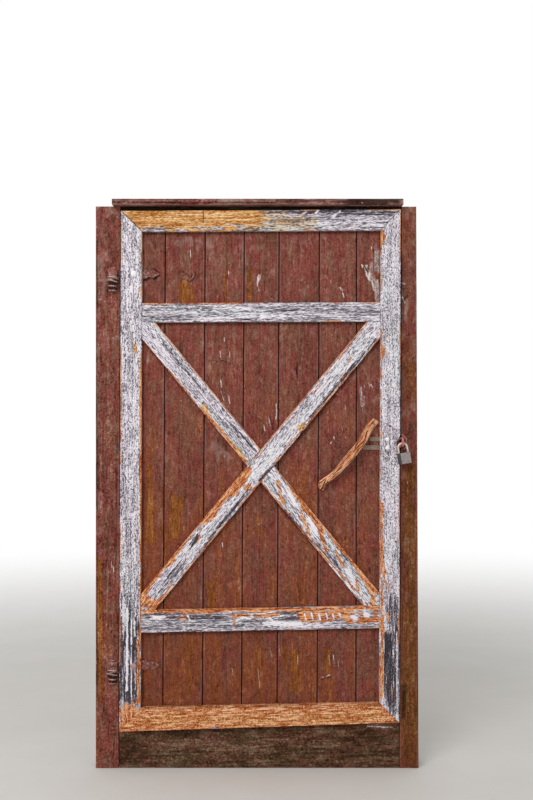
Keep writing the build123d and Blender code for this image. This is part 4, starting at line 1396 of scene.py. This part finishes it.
WHITE_MARKS: dict[str, tuple[Mark, ...]] = {
    "brace_under_upper": (
        *strokes(
            BARE, (3, 1, (-438, 1605), (-337, 1488), (-239, 1374)),
            (10, 1, (-226, 1357), (-172, 1296), (-104, 1214)), (5, 1, (-104, 1214), (-50, 1152)),
            (5.5, 1, (-211, 1369), (-200, 1346)), (6, 1, (-81, 1199), (-70, 1178)),
            (1.7, 0.8, (-374, 1676), (-224, 1503), (-105, 1369)),
        ),
        *strokes(WARM, (7, 1, (-213, 1367), (-198, 1343)), (8, 1, (-81, 1199), (-70, 1178))),
        *strokes(
            GREY, (6, 0.7, (-363, 1593), (-206, 1414)), (7, 0.9, (-105, 1290), (-30, 1208)),
            (8, 0.5, (-419, 1586), (-381, 1541)),
        ),
    ),
    "brace_over": (
        *strokes(
            BARE, (20, 1, (-51, 1121), (-136, 1012)), (14, 1, (-136, 1012), (-216, 919)),
            (12, 0.9, (-52, 1058), (-22, 1051)), (4.5, 1, (-223, 890), (-232, 849)),
            (9, 1, (-444, 648), (-400, 702), (-330, 789)), (5, 0.95, (-330, 789), (-262, 873)),
            (26, 1, (-440, 640), (-374, 597)), (7, 1, (-329, 692), (-395, 606)),
            (2.2, 0.5, (-15, 1148), (150, 1350), (292, 1518), (419, 1668)),
            (4.2, 1, (176, 1294), (56, 1156)), (2.8, 0.9, (359, 1509), (176, 1294)),
            (8, 1, (161, 1290), (150, 1275)),
            (1.7, 1, (335, 1603), (329, 1575), (340, 1541), (325, 1503), (308, 1466)),
            (1.7, 1, (329, 1578), (310, 1556), (295, 1532)), (1.5, 0.9, (295, 1528), (322, 1518)),
        ),
        *strokes(
            GREY, (9.5, 1.6, (-232, 875), (-256, 843)),
            (7.5, 1.2, (430, 1604), (303, 1455), (232, 1376)), (6.5, 1.1, (292, 1444), (150, 1257)),
            (7.5, 1.1, (142, 1234), (7, 1085)), (6, 0.7, (232, 1489), (142, 1391)),
            (6, 0.7, (112, 1365), (7, 1234)), (8, 0.8, (-280, 785), (-374, 673)),
            (7, 1, (-45, 1047), (-206, 842)),
        ),
        *strokes(WARM, (9, 1, (161, 1290), (150, 1275))),
        *strokes(CRACK, (1.7, 0.7, (262, 1414), (165, 1294)), (1.7, 0.7, (-75, 1010), (-180, 875))),
    ),
    "brace_under_lower": (
        *strokes(
            BARE, (8, 1, (90, 1098), (135, 1040)), (12, 1, (127, 1043), (183, 965), (236, 901)),
            (7, 1, (228, 920), (239, 886)), (9, 1, (236, 914), (378, 738)),
            (10.5, 1, (378, 733), (434, 662)), (11, 1, (419, 666), (423, 621)),
            (6.4, 1.15, (67, 1081), (77, 1025), (92, 995)),
            (6.2, 1.15, (153, 980), (163, 932), (189, 872)),
            (5.6, 1.15, (217, 924), (229, 873), (249, 819)), (4.6, 1.1, (284, 823), (312, 759)),
            (6.5, 1, (359, 718), (368, 673)),
            (3, 0.95, (7, 1062), (112, 942), (262, 778), (404, 621)),
            (5, 0.9, (60, 1010), (112, 950)),
        ),
        *strokes(
            KEPT, (6, 0.6, (100, 1052), (135, 985)), (6, 0.6, (182, 945), (212, 880)),
            (7, 0.6, (330, 745), (352, 702)),
        ),
        *strokes(
            GREY, (8.5, 1.3, (262, 875), (344, 778)), (5, 0.9, (97, 965), (172, 875)),
            (5.5, 0.8, (217, 842), (292, 755)), (5, 0.8, (22, 1107), (60, 1040)),
        ),
    ),
    "stile_left": (
        *strokes(
            BARE, (4.4, 1, (-446, 1540), (-446, 1085)), (7.5, 1, (-453, 516), (-453, 254)),
            (6.5, 1, (-469, 1590), (-468, 1567)), (3, 0.9, (-445, 1803), (-445, 1747)),
            (3.2, 0.9, (-446, 1085), (-446, 561)), (62, 1.1, (-490, 196), (-490, 120)),
        ),
        *strokes(WARM, (7.5, 1, (-469, 1590), (-468, 1567))),
        *strokes(GREY, (30, 0.7, (-490, 643), (-490, 580)), (44, 1.55, (-490, 516), (-490, 284))),
        *strokes(
            KEPT, (3.6, 1, (-497, 606), (-496, 449), (-499, 299)),
            (2, 0.9, (-480, 561), (-482, 396), (-481, 262)), (3, 0.8, (-469, 554), (-469, 501)),
            (4.6, 0.6, (-509, 643), (-511, 486)), (4.4, 1, (-484, 1806), (-483, 1791)),
        ),
        *strokes(
            SHADE, (1.5, 0.8, (-473, 1821), (-473, 1758)), (1.2, 0.6, (-482, 1786), (-482, 1769)),
            (1.6, 0.7, (-488, 1842), (-475, 1839), (-462, 1844)),
            (1.3, 0.6, (-481, 1880), (-468, 1880)), (1.4, 0.6, (-447, 643), (-464, 658)),
        ),
        *strokes(
            CRACK, (1.6, 0.9, (-486, 942), (-482, 785), (-486, 554)),
            (1.4, 0.8, (-520, 937), (-482, 939)), (1.3, 0.5, (-475, 1646), (-479, 1309)),
        ),
    ),
    "stile_right": (
        *strokes(
            BARE, (7.5, 1, (458, 1586), (458, 1541)), (3.2, 0.9, (453, 1646), (453, 1085)),
            (8.2, 1, (458, 991), (458, 961)), (5, 1, (455, 954), (455, 763)),
            (8.2, 1, (460, 767), (464, 733)), (6, 1, (455, 718), (455, 591)),
            (8, 0.9, (479, 580), (479, 554)), (4, 0.9, (460, 729), (486, 666)),
            (9, 1, (459, 2014), (458, 1968)), (3.7, 0.9, (454, 1968), (454, 1926)),
            (2.8, 0.9, (522, 1646), (524, 1590), (522, 1421)), (3.4, 0.9, (501, 673), (512, 647)),
            (7.5, 1.1, (456, 575), (456, 262)), (2.2, 0.8, (492, 322), (495, 262)),
        ),
        *strokes(
            GREY, (21, 2.0, (482, 500), (482, 262)), (24, 0.9, (501, 636), (501, 232)),
            (4, 0.7, (480, 1188), (478, 1158)),
        ),
        *strokes(
            KEPT, (2.2, 0.6, (511, 516), (513, 381), (512, 247)),
            (1.6, 0.45, (497, 449), (499, 299)),
        ),
        *strokes(CRACK, (1.9, 0.9, (494, 1371), (520, 1374))),
        # Dark rings of painted shade round the hasp bolts' heads, and painted shadow under the
        # lower one.
        *ring(SHADE, 1.7, 0.75, (474.5, 1236), 12.5),
        *ring(SHADE, 1.7, 0.75, (477.5, 1207), 12.5),
        *strokes(
            SHADE, (2.2, 0.8, (468, 1192), (479, 1188), (489, 1194)),
            (1.3, 0.7, (475, 1294), (494, 1283), (501, 1264)), (1.2, 0.6, (453, 1293), (475, 1296)),
        ),
    ),
    "rail_top": (
        *strokes(
            BARE, (53, 1.15, (-490, 2074), (-110, 2071)), (38, 0.95, (-110, 2066), (-40, 2064)),
            (26, 0.75, (-70, 2061), (10, 2056)), (16, 0.55, (10, 2057), (150, 2051)),
        ),
        *strokes(WARM, (60, 1, (-524, 2072), (60, 2066)), (24, 0.8, (60, 2056), (190, 2048))),
        *strokes(CRACK, (2.6, 1, (-212, 2094), (-212, 2048)), (2, 0.9, (-520, 2090), (-443, 2018))),
        *strokes(GREY, (9, 1.1, (-19, 2089), (494, 2087))),
        *strokes(SHADE, (2, 0.6, (-482, 2089), (-494, 2081))),
        *strokes(
            KEPT, (3.5, 1, (209, 2083), (221, 2098)), (3, 1, (273, 2072), (299, 2089)),
            (2.6, 0.8, (150, 2072), (172, 2087)),
        ),
    ),
    "rail_upper": (
        *strokes(
            BARE, (1.9, 0.85, (-438, 1743), (7, 1745)),
            (1.6, 0.9, (258, 1728), (275, 1709), (290, 1690)),
        ),
        *strokes(GREY, (6, 0.8, (56, 1720), (441, 1719)), (5, 0.6, (-411, 1689), (0, 1689))),
    ),
    "rail_lower": (
        *strokes(
            BARE, (10.5, 1, (-438, 592), (0, 600)), (9.5, 0.95, (0, 598), (441, 607)),
            (6, 1, (-286, 590), (-279, 542)), (4, 1, (-300, 574), (-294, 556)),
            (2.2, 0.8, (-262, 576), (-239, 568)), (6.5, 1, (-104, 591), (-96, 545)),
            (5, 1, (-90, 568), (-67, 583), (-41, 576)), (2, 0.8, (-127, 576), (-116, 568)),
            (2.6, 0.9, (-22, 595), (-15, 568)), (30, 0.9, (168, 574), (329, 583)),
            (12, 0.9, (329, 555), (441, 561)), (5, 1, (376, 591), (385, 561)),
            (6, 1, (434, 606), (434, 554)), (9, 0.95, (-18, 576), (68, 578)),
        ),
        *strokes(SHADE, (1.5, 0.7, (-438, 583), (-314, 583), (-224, 580), (7, 589))),
        *strokes(
            KEPT, (2, 0.8, (-271, 578), (-262, 560)), (5, 0.7, (-400, 572), (-360, 570)),
            (2.2, 0.9, (-88, 560), (-60, 570), (-36, 566)), (5, 0.7, (10, 548), (150, 549)),
            (5, 1, (393, 602), (400, 576)), (6, 0.9, (346, 576), (359, 561)),
            (3, 1, (37, 568), (52, 554)), (2.2, 1, (166, 584), (172, 562)),
            (2.2, 1, (192, 586), (198, 565)), (2.2, 1, (220, 582), (226, 561)),
            (2.2, 1, (247, 586), (253, 566)), (2.2, 1, (272, 583), (278, 563)),
            (2.2, 1, (297, 585), (303, 566)),
        ),
        *strokes(
            GREY, (12, 1.6, (79, 595), (157, 598)), (16, 0.9, (75, 568), (150, 572)),
            (16, 1, (-359, 561), (-150, 565)), (9, 0.8, (-64, 554), (7, 557)),
        ),
    ),
    "rail_bottom": (
        *strokes(BARE, (80, 1, (-494, 191), (501, 217))),
        *strokes(WARM, (30, 0.42, (-440, 186), (440, 200))),
        *strokes(SHADE, (4, 0.45, (-438, 230), (456, 248))),
        *strokes(CRACK, (1.2, 0.5, (-475, 161), (-445, 198))),
    ),
}
FACING_MARKS: dict[str, tuple[Mark, ...]] = {
    "jamb_facing_right": (
        *strokes(
            CHIP, (2.4, 0.9, (535, 1824), (547, 1820)), (2.2, 0.9, (535, 1771), (545, 1745)),
            (1.4, 0.6, (553, 1091), (556, 1038)),
        ),
        *strokes(
            SHADE, (10, 0.75, (539, 309), (540, 196)), (4, 0.6, (536, 1756), (553, 1775)),
            (2, 0.3, (594, 1900), (594, 240)),
        ),
        *strokes(GREY, (6, 0.9, (549, 1760), (547, 1692))),
        *strokes(WARM, (26, 1.4, (564, 1121), (564, 40)), (18, 1, (556, 1591), (560, 1384))),
    ),
    "jamb_facing_left": (
        *strokes(GREY, (9, 0.7, (-590, 1903), (-587, 1816))),
        *strokes(SHADE, (2.2, 0.8, (-614, 1985), (-613, 256)), (4, 0.4, (-541, 1309), (-540, 782))),
        *strokes(WARM, (14, 1.5, (-605, 782), (-602, 256))),
        *strokes(
            CHIP, (1.8, 1, (-619, 403), (-614, 391)), (1.6, 0.9, (-553, 760), (-549, 737)),
            (1.4, 0.8, (-560, 779), (-557, 752)),
        ),
    ),
    "drip_board": (
        *strokes(
            SHADE, (16, 0.9, (330, 2125), (520, 2125)), (7, 0.7, (60, 2126), (330, 2124)),
            (3.2, 0.75, (-560, 2119), (60, 2118)),
        ),
        *strokes(GREY, (1.8, 1.1, (-560, 2111), (-60, 2111))),
    ),
    "sill_board": (
        *strokes(GREY, (8, 1, (426, 163), (508, 168))),
        *strokes(CHIP, (3, 0.8, (404, 158), (500, 152))),
        # Painted shadow under the leaf's foot.
        *strokes(SHADE, (6, 0.6, (-520, 168), (520, 176))),
    ),
}
# Painted light on the hinge eyes and pintles: shade bands (SHADE) and highlights on the rims
# (KEPT).
HINGE_LIGHT_AND_SHADE = (
    *strokes(
        SHADE, (3.2, 1, (-584, 1839), (-554, 1839), (-535, 1832), (-512, 1822)),
        (6.5, 0.9, (-584, 1820), (-556, 1820), (-531, 1816), (-512, 1808)),
        (5.0, 0.75, (-584, 1802), (-512, 1800)), (3.5, 0.7, (-584, 1788), (-512, 1787)),
        (4.0, 0.8, (-522, 1876), (-519, 1800)),
    ),
    *strokes(
        KEPT, (1.8, 1, (-584, 1844), (-546, 1844), (-530, 1840), (-514, 1832)),
        (1.8, 1, (-590, 1831), (-557, 1831), (-538, 1826), (-522, 1820)),
        (1.5, 0.6, (-584, 1812), (-526, 1811)), (1.6, 0.6, (-584, 1794), (-526, 1793)),
    ),
)
# Painted shade in the dark gaps between the leaf, the facings and the drip board.
FRAME_SHADES = strokes(
    SHADE, (14, 1, (-560, 2104), (545, 2104)), (12, 1, (-532, 160), (-532, 2104)),
    (12, 1, (527, 160), (527, 2104)),
)


@dataclass
class SmoothPiece:
    """A small metal piece copied from its node, with smooth rounds and crisp edges."""

    node: str
    body: str
    finish: object
    sharp: float = 32.0

    def build(self) -> None:
        """Makes the piece."""
        piece = merged_copy(self.node, f"{self.node}_dressed")
        soften(piece, self.sharp)
        dress(piece, self.finish, self.body, self.node)


@dataclass
class Forging:
    """A forged piece copied from its node, with an even skin, hammered and pitted inwards."""

    node: str
    body: str
    finish: object
    seed: int
    voxel: float = 1.2
    lump: float = 0.6
    pitting: float = 0.2
    shrink: float = 0.05
    marks: tuple[Mark, ...] = ()
    lump_period: float = 0.012
    pit_period: float = 0.003
    sharp: float = 50.0

    def build(self) -> None:
        """Makes the piece."""
        piece = merged_copy(self.node, f"{self.node}_forged")
        low, high = points_of(piece).min(axis=0), points_of(piece).max(axis=0)
        even_skin(piece, self.voxel * MM)
        rubbed_and_lit(piece, self.voxel * MM, self.marks)
        points, normals = points_of(piece), points_of(piece, "normal")
        noise = Noise(self.seed)
        lumps = smooth_step(0.35, 0.75, noise.layered(points / self.lump_period + 3, 2))
        depth = self.shrink + self.lump * lumps
        depth += self.pitting * noise.layered(points / self.pit_period + 11, 2)
        set_points(piece, np.clip(points - normals * (depth * MM)[:, None], low, high))
        soften(piece, self.sharp)
        dress(piece, self.finish, self.body, self.node)


@dataclass
class Studio:
    """Camera, floor and soft light. The camera stands in front, a little above the lock."""

    distance: float = 4.5
    eye_height: float = 1.384
    eye_shift: float = 0.0243
    face_depth: float = -0.094
    view_height: float = 2.992
    sensor: float = 36.0
    sight: float = 200.0
    floor_size: float = 80.0
    floor_drop: float = 0.0005
    floor_fade: tuple[float, float] = (1.6, 7.0)
    floor_colours: tuple[str, str] = ("EEEBE6", "E9E6E0")
    sky_level: float = 0.52
    key_power: float = 166.0
    key_size: tuple[float, float] = (3.0, 2.0)
    key_place: tuple[float, float, float] = (-2.0, -5.4, 4.4)
    key_aim: tuple[float, float, float] = (0.0, 0.0, 1.05)

    def camera(self) -> None:
        """Adds the camera, level and square to the door."""
        data = bpy.data.cameras.new("camera")
        data.sensor_fit = "VERTICAL"
        data.sensor_height = self.sensor
        data.lens = self.sensor * self.distance / self.view_height
        data.clip_end = self.sight
        camera = bpy.data.objects.new("camera", data)
        camera.location = (self.eye_shift, self.face_depth - self.distance, self.eye_height)
        camera.rotation_euler = (math.radians(90), 0.0, 0.0)
        bpy.context.scene.collection.objects.link(camera)
        bpy.context.scene.camera = camera

    def floor(self) -> None:
        """Adds a pale floor that fades to the white of the background far away."""
        bpy.ops.mesh.primitive_plane_add(size=self.floor_size, location=(0, 0, -self.floor_drop))
        floor = bpy.context.object
        floor.name = "floor"
        g = Graph("pale_floor")
        x, y, _ = g.split(g.place())
        far = g.math("SQRT", g.plus(g.times(x, x), g.times(y, y)))
        seen = g.make("ShaderNodeLightPath", {}).outputs["Is Camera Ray"]
        share = g.times(g.step(far, *self.floor_fade), seen)
        cloud = g.step(g.noise(g.stretched(g.place(), 3, 3, 3)), 0.2, 0.8)
        g.finish(g.mix(cloud, *self.floor_colours), 0.8)
        glow = g.make("ShaderNodeEmission", {}).outputs[0]
        blend = g.make("ShaderNodeMixShader", {0: share, 1: g.surface.outputs[0], 2: glow})
        g.feed(g.output.inputs["Surface"], blend.outputs[0])
        floor.data.materials.append(g.material)

    def sky(self) -> None:
        """Adds an even sky, which the camera and reflections see as plain white."""
        world = bpy.data.worlds.new("studio")
        bpy.context.scene.world = world
        world.use_nodes = True
        nodes = Nodes(world.node_tree)
        rays = nodes.make("ShaderNodeLightPath", {}).outputs
        seen = nodes.larger(rays["Is Camera Ray"], rays["Is Glossy Ray"])
        seen = nodes.larger(seen, rays["Is Transmission Ray"])
        sky, white = (
            nodes.make("ShaderNodeBackground", {"Color": "FFFFFF", "Strength": level}).outputs[0]
            for level in (self.sky_level, 1.0)
        )
        blend = nodes.make("ShaderNodeMixShader", {0: seen, 1: sky, 2: white})
        nodes.make("ShaderNodeOutputWorld", {"Surface": blend.outputs[0]})

    def key_light(self) -> None:
        """Adds a broad light from above, in front and slightly to the left."""
        light = bpy.data.lights.new("key", "AREA")
        light.shape = "RECTANGLE"
        light.size, light.size_y = self.key_size
        light.energy = self.key_power
        key = bpy.data.objects.new("key", light)
        key.location = self.key_place
        aim = Vector(self.key_aim) - Vector(key.location)
        key.rotation_euler = aim.to_track_quat("-Z", "Y").to_euler()
        bpy.context.scene.collection.objects.link(key)

    def build(self) -> None:
        """Sets the whole studio up."""
        self.camera()
        fresh_selection()
        self.floor()
        self.sky()
        self.key_light()
        bpy.context.scene.view_settings.view_transform = "Standard"


WHITE_PAINT = CrackedWhite(contrast=0.86)
RAIL_PAINT = CrackedWhite(contrast=0.74)
PLANK_PAINT = WornPaint()
FACING_PAINT = WornPaint("facing_paint", coarse=1.3, contrast=1.35)
STAINED_PAINT = WornPaint(
    "facing_paint", coarse=1.3, contrast=1.1,
    rust=("38180A", "623418", "744020", "865032", "B08864"),
    stain=("3A1E06", "5C3614", "6E4420", "84562E", "AE8A5C"),
)
DRIP_PAINT = WornPaint("facing_paint", coarse=1.6, contrast=2.0)
SILL_PAINT = WornPaint(
    "facing_paint", coarse=1.4, contrast=1.4, haze="7A6254",
    red=("220F08", "46291C", "5E3B2B", "744E3A", "A48A7A"),
    brown=("1E1208", "3E2A1A", "543C28", "685038", "9A8670"),
)
TIMBER = SawnTimber()
BRANCH = BarkedBranch()
IRON = OldIron()
HASP_STEEL = SpottedSteel(
    "hasp_steel", "786A5C", "A87034", "2A221E", 0.15, tail="C0686C", tail_from=0.517
)
BOLT_PAINT = PaintedBolt()
ZINC = SpottedSteel("zinc_steel", "9C9C98", "8A7A66", "4C4A46", 0.7, 0.4)
# The padlock's left side is darkened as painted shade.
PADLOCK_STEEL = SpottedSteel(
    "padlock_steel", "968A8A", "7A7C76", "3A3436", 0.3, 0.5, side=(0.7284, 0.1737, 0.0014)
)
BRASS = SpottedSteel("padlock_brass", "B8934F", "9A7434", "5A431C", 0.9, 0.35)
SHACKLE_STEEL = SpottedSteel("shackle_steel", "E2CDBE", "B08C62", "5C4A3C", 0.35, 0.35)
FINISHES: dict[object, bpy.types.Material] = {}


@dataclass
class LeafPlanks:
    """The seven upright planks; warmth is how ochre each one's foot is, from the hinges on."""

    body: str = "leaf"
    warmth: tuple[float, ...] = (1.0, 0.98, 0.95, 0.9, 0.8, 0.7, 0.5)

    def build(self) -> None:
        """Makes the planks, each weathered on its own."""
        for number, warm in enumerate(self.warmth, start=1):
            Board(
                f"plank_{number}", self.body, PLANK_PAINT, 20 + number, nibble=0.5, chipping=0.9,
                grey=(0.0, 0.16), warm=(warm, 0.0), shades=PLANK_SHADES, marks=PLANK_MARKS[number],
                joints=True,
            ).build()


@dataclass
class WhiteSurround:
    """Stiles, rails and the X brace; grey is how worn each is at its start and at its end."""

    body: str = "leaf"
    grey: dict[str, tuple[float, float]] = field(
        default_factory=lambda: {
            "stile_left": (0.2, 0.14),
            "stile_right": (0.1, 0.05),
            "rail_top": (0.26, 0.3),
            "rail_upper": (0.2, 0.26),
            "rail_lower": (0.4, 0.3),
            "rail_bottom": (0.5, 0.5),
            "brace_over": (0.08, 0.0),
            "brace_under_upper": (0.1, 0.1),
            "brace_under_lower": (0.1, 0.15),
        }
    )
    rail_stretch: float = 2.7
    brace_stretch: float = 2.2
    unstretched: tuple[str, ...] = ("stile_left", "stile_right", "rail_bottom")

    def build(self) -> None:
        """Makes the nine boards."""
        for order, (node, grey) in enumerate(self.grey.items()):
            brace = "brace" in node
            stretch = self.brace_stretch if brace else self.rail_stretch
            Board(
                node, self.body, RAIL_PAINT if "rail" in node else WHITE_PAINT, 40 + order,
                across_step=2.6, along_step=10.0, grey=grey, through=True, marks=WHITE_MARKS[node],
                rim=0.56 if brace else 0.45, rim_width=4.0 if brace else 3.0,
                lengthen=1.0 if node in self.unstretched else stretch,
            ).build()


@dataclass
class TimberFrame:
    """Posts, head beam and sill beam behind the boards, and the ledges on the leaf's back."""

    beams: tuple[str, ...] = ("jamb_post_left", "jamb_post_right", "head_beam", "sill_beam")
    ledges: tuple[str, ...] = ("ledge_upper", "ledge_middle", "ledge_lower")

    def build(self) -> None:
        """Makes the sawn timbers."""
        for order, node in enumerate(self.beams):
            Board(
                node, "frame", TIMBER, 60 + order, 30.0, 7.0, ridge=0.5, wave=0.8, nibble=1.0,
                shades=FRAME_SHADES,
            ).build()
        for order, node in enumerate(self.ledges):
            Board(node, "leaf", TIMBER, 70 + order, 20.0, 5.0, 0.4, 0.5, 0.6).build()


@dataclass
class FacingBoards:
    """Boards beside, over and under the leaf, with the few nail heads that show."""

    nail_radius: float = 3.4
    nail_height: float = 1.3
    nail_round: float = 0.5
    nails: tuple[tuple[float, float, float], ...] = (
        (380.0, -118.0, 2117.0),
        (478.0, -118.0, 2121.0),
        (535.6, -70.5, 1820.0),
    )

    def nail_heads(self) -> None:
        """Makes a hammered nail head at each place where one shows."""
        for number, place in enumerate(self.nails, start=1):
            fresh_selection()
            bpy.ops.mesh.primitive_cylinder_add(
                vertices=20, radius=self.nail_radius * MM, depth=2 * self.nail_height * MM,
                location=[value * MM for value in place], rotation=(math.radians(90), 0, 0),
            )
            nail = bpy.context.object
            nail.name = f"nail_head_{number}"
            bpy.ops.object.transform_apply(location=True, rotation=True, scale=True)
            bpy.ops.object.mode_set(mode="EDIT")
            bpy.ops.mesh.select_all(action="SELECT")
            bpy.ops.mesh.bevel(offset=self.nail_round * MM, segments=2, affect="EDGES")
            bpy.ops.object.mode_set(mode="OBJECT")
            soften(nail, 40.0)
            dress(nail, IRON, "frame")

    def build(self) -> None:
        """Makes the four boards and their nail heads."""
        for board in (
            Board("jamb_facing_left", "frame", FACING_PAINT, 81, grey=(0.1, 0.2), warm=(0.3, 0.1)),
            Board(
                "jamb_facing_right", "frame", STAINED_PAINT, 82, grey=(0.0, 0.3), warm=(1.15, 0.4)
            ),
            Board("drip_board", "frame", DRIP_PAINT, 83, 14.0, 3.0, grey=(0.3, 0.5), ridge=0.5),
            Board("sill_board", "frame", SILL_PAINT, 84, 14.0, 4.0, grey=(0.2, 0.2), ridge=0.6),
        ):
            board.marks = FACING_MARKS[board.node]
            board.build()
        self.nail_heads()


@dataclass
class StrapHinges:
    """Straps, pintles, washers, and the bolts through the straps."""

    drops: dict[str, float] = field(default_factory=lambda: {"upper": 0.0, "lower": 1469.0})

    def build(self) -> None:
        """Makes the forged pieces and the bolts."""
        for order, (end, drop) in enumerate(self.drops.items()):
            marks = tuple(mark.lowered(drop) for mark in HINGE_LIGHT_AND_SHADE)
            Forging(f"hinge_strap_{end}", "leaf", IRON, 101 + order, marks=marks).build()
            Forging(f"pintle_{end}", "frame", IRON, 111 + order, lump=0.8, marks=marks).build()
        Forging("hinge_washers", "frame", IRON, 121, 0.8, 0.3, 0.1).build()
        Forging("hinge_bolts", "leaf", BOLT_PAINT, 122, 0.7, 0.3, 0.1).build()
        SmoothPiece("hinge_bolt_nuts", "leaf", ZINC).build()


@dataclass
class LockSide:
    """Hairpin hasp with its bolts, the bent staple in the frame, and the padlock."""

    def build(self) -> None:
        """Makes the lock side's ironwork."""
        Forging("hasp", "leaf", HASP_STEEL, 131, 0.8, 0.3, 0.15, shrink=0.02).build()
        Forging("jamb_staple", "frame", HASP_STEEL, 132, 0.6, 0.25, 0.15).build()
        Forging("hasp_bolts", "leaf", BOLT_PAINT, 133, 0.6, 0.25, 0.1).build()
        SmoothPiece("hasp_bolt_nuts", "leaf", ZINC).build()
        SmoothPiece("padlock_body", "padlock", PADLOCK_STEEL).build()
        SmoothPiece("padlock_cylinder", "padlock", BRASS).build()
        SmoothPiece("padlock_shackle", "shackle", SHACKLE_STEEL).build()


@dataclass
class BranchHandle:
    """The barked branch that serves as a handle, cracked along its length, and its screws.

    A crack has its start along the branch, its angle round it, its swing and its half width. A
    station is a place on the branch's middle line.
    """

    voxel: float = 1.3
    seed: int = 151
    sharp: float = 60.0
    grain_radius: float = 0.014
    cracks: tuple[tuple[float, float, float, float], ...] = (
        (0.25, 0.1, 0.25, 0.2),
        (2.0, -0.75, 0.2, 0.15),
        (4.1, 0.95, 0.22, 0.16),
        (1.1, -1.45, 0.15, 0.14),
        (5.2, 1.9, 0.15, 0.14),
        (3.3, 0.5, 0.3, 0.1),
    )
    stations: tuple[tuple[float, float, float], ...] = (
        (434.6, -81.0, 1306.3),
        (399.6, -99.0, 1262.5),
        (383.0, -111.0, 1233.9),
        (361.0, -117.0, 1204.2),
        (328.2, -117.0, 1165.8),
        (306.3, -112.0, 1138.8),
        (258.8, -96.0, 1092.3),
        (228.5, -80.0, 1051.8),
    )

    def along_and_round(self, points: np.ndarray) -> tuple[np.ndarray, np.ndarray]:
        """Finds each point's place along the branch and its angle round it.

        Args:
            points: N by 3 in metres.

        Returns:
            The distance from the upper end in metres, and the angle in radians.
        """
        line = np.array(self.stations) * MM
        best = np.full(len(points), FAR)
        along, angle = np.zeros(len(points)), np.zeros(len(points))
        walked = 0.0
        for a, b in zip(line, line[1:]):
            run = b - a
            length = float(np.linalg.norm(run))
            axis = run / length
            offset = points - a
            share = np.clip(offset @ axis / length, 0, 1)
            spoke = offset - share[:, None] * run
            gap = np.linalg.norm(spoke, axis=1)
            outward = np.array((0.0, -1.0, 0.0)) - axis * float(-axis[1])
            outward /= np.linalg.norm(outward)
            side = np.cross(axis, outward)
            closer = gap < best
            best = np.where(closer, gap, best)
            along = np.where(closer, walked + share * length, along)
            angle = np.where(closer, np.arctan2(spoke @ side, spoke @ outward), angle)
            walked += length
        return along, angle

    def cracked(self, s: np.ndarray, angle: np.ndarray, noise: Noise) -> np.ndarray:
        """Finds how deep in a crack each point is.

        Args:
            s: the points' places along the branch.
            angle: their angles round it.
            noise: what breaks the cracks off.

        Returns:
            A number between 0 and 1 for each point.
        """
        crack = np.zeros(len(s))
        for start, turn, swing, width in self.cracks:
            wander = turn + swing * np.sin(s / 0.021 + start)
            wander = wander + 0.5 * swing * np.sin(s / 0.009 + 2 * start)
            gap = np.abs(np.angle(np.exp(1j * (angle - wander))))
            broken = noise.layered(np.column_stack((s / 0.035, s * 0 + start, s * 0)) + 3, 2)
            open_at = smooth_step(width, width * 0.25, gap) * smooth_step(0.36, 0.5, broken)
            crack = np.maximum(crack, open_at)
        return crack

    def build(self) -> None:
        """Makes the branch with its cracks, bumps and pale ends."""
        piece = merged_copy("branch_handle", "branch_handle_barked")
        low, high = points_of(piece).min(axis=0), points_of(piece).max(axis=0)
        even_skin(piece, self.voxel * MM)
        points, normals = points_of(piece), points_of(piece, "normal")
        s, angle = self.along_and_round(points)
        noise = Noise(self.seed)
        around = np.column_stack((np.cos(angle), np.sin(angle), s / 0.06))
        strands = noise.layered(around * (2.6, 2.6, 1.0) + 7, 4)
        bumps = noise.layered(around * (0.8, 0.8, 2.2) + 21, 2)
        crack = self.cracked(s, angle, noise)
        depth = 0.1 + 0.8 * smooth_step(0.4, 0.62, strands) + 0.7 * bumps + 1.8 * crack
        length = s.max()
        ends = smooth_step(0.012, 0.002, s) + smooth_step(length - 0.008, length - 0.001, s)
        set_points(piece, np.clip(points - normals * (depth * MM)[:, None], low, high))
        radius = self.grain_radius
        set_vector(piece, "grain", np.cos(angle) * radius, np.sin(angle) * radius, s)
        dark = np.clip(0.95 * crack + 0.3 * smooth_step(0.5, 0.66, strands), 0, 1)
        set_vector(piece, "wear", dark, np.clip(ends, 0, 1), 1 - strands)
        soften(piece, self.sharp)
        dress(piece, BRANCH, "leaf", "branch_handle")
        SmoothPiece("branch_screws", "leaf", IRON).build()


def main() -> None:
    """Builds the studio and the door, piece by piece."""
    logging.basicConfig(level=logging.INFO, format="%(name)s: %(message)s")
    Studio().build()
    for finish in (
        WHITE_PAINT, RAIL_PAINT, PLANK_PAINT, FACING_PAINT, STAINED_PAINT, DRIP_PAINT, SILL_PAINT,
        TIMBER, BRANCH, IRON, HASP_STEEL, BOLT_PAINT, ZINC, PADLOCK_STEEL, BRASS, SHACKLE_STEEL,
    ):
        FINISHES[finish] = finish.material()
    for part in (
        LeafPlanks(), WhiteSurround(), TimberFrame(), FacingBoards(), StrapHinges(), LockSide(),
        BranchHandle(),
    ):
        part.build()


if __name__ == "__main__":
    main()
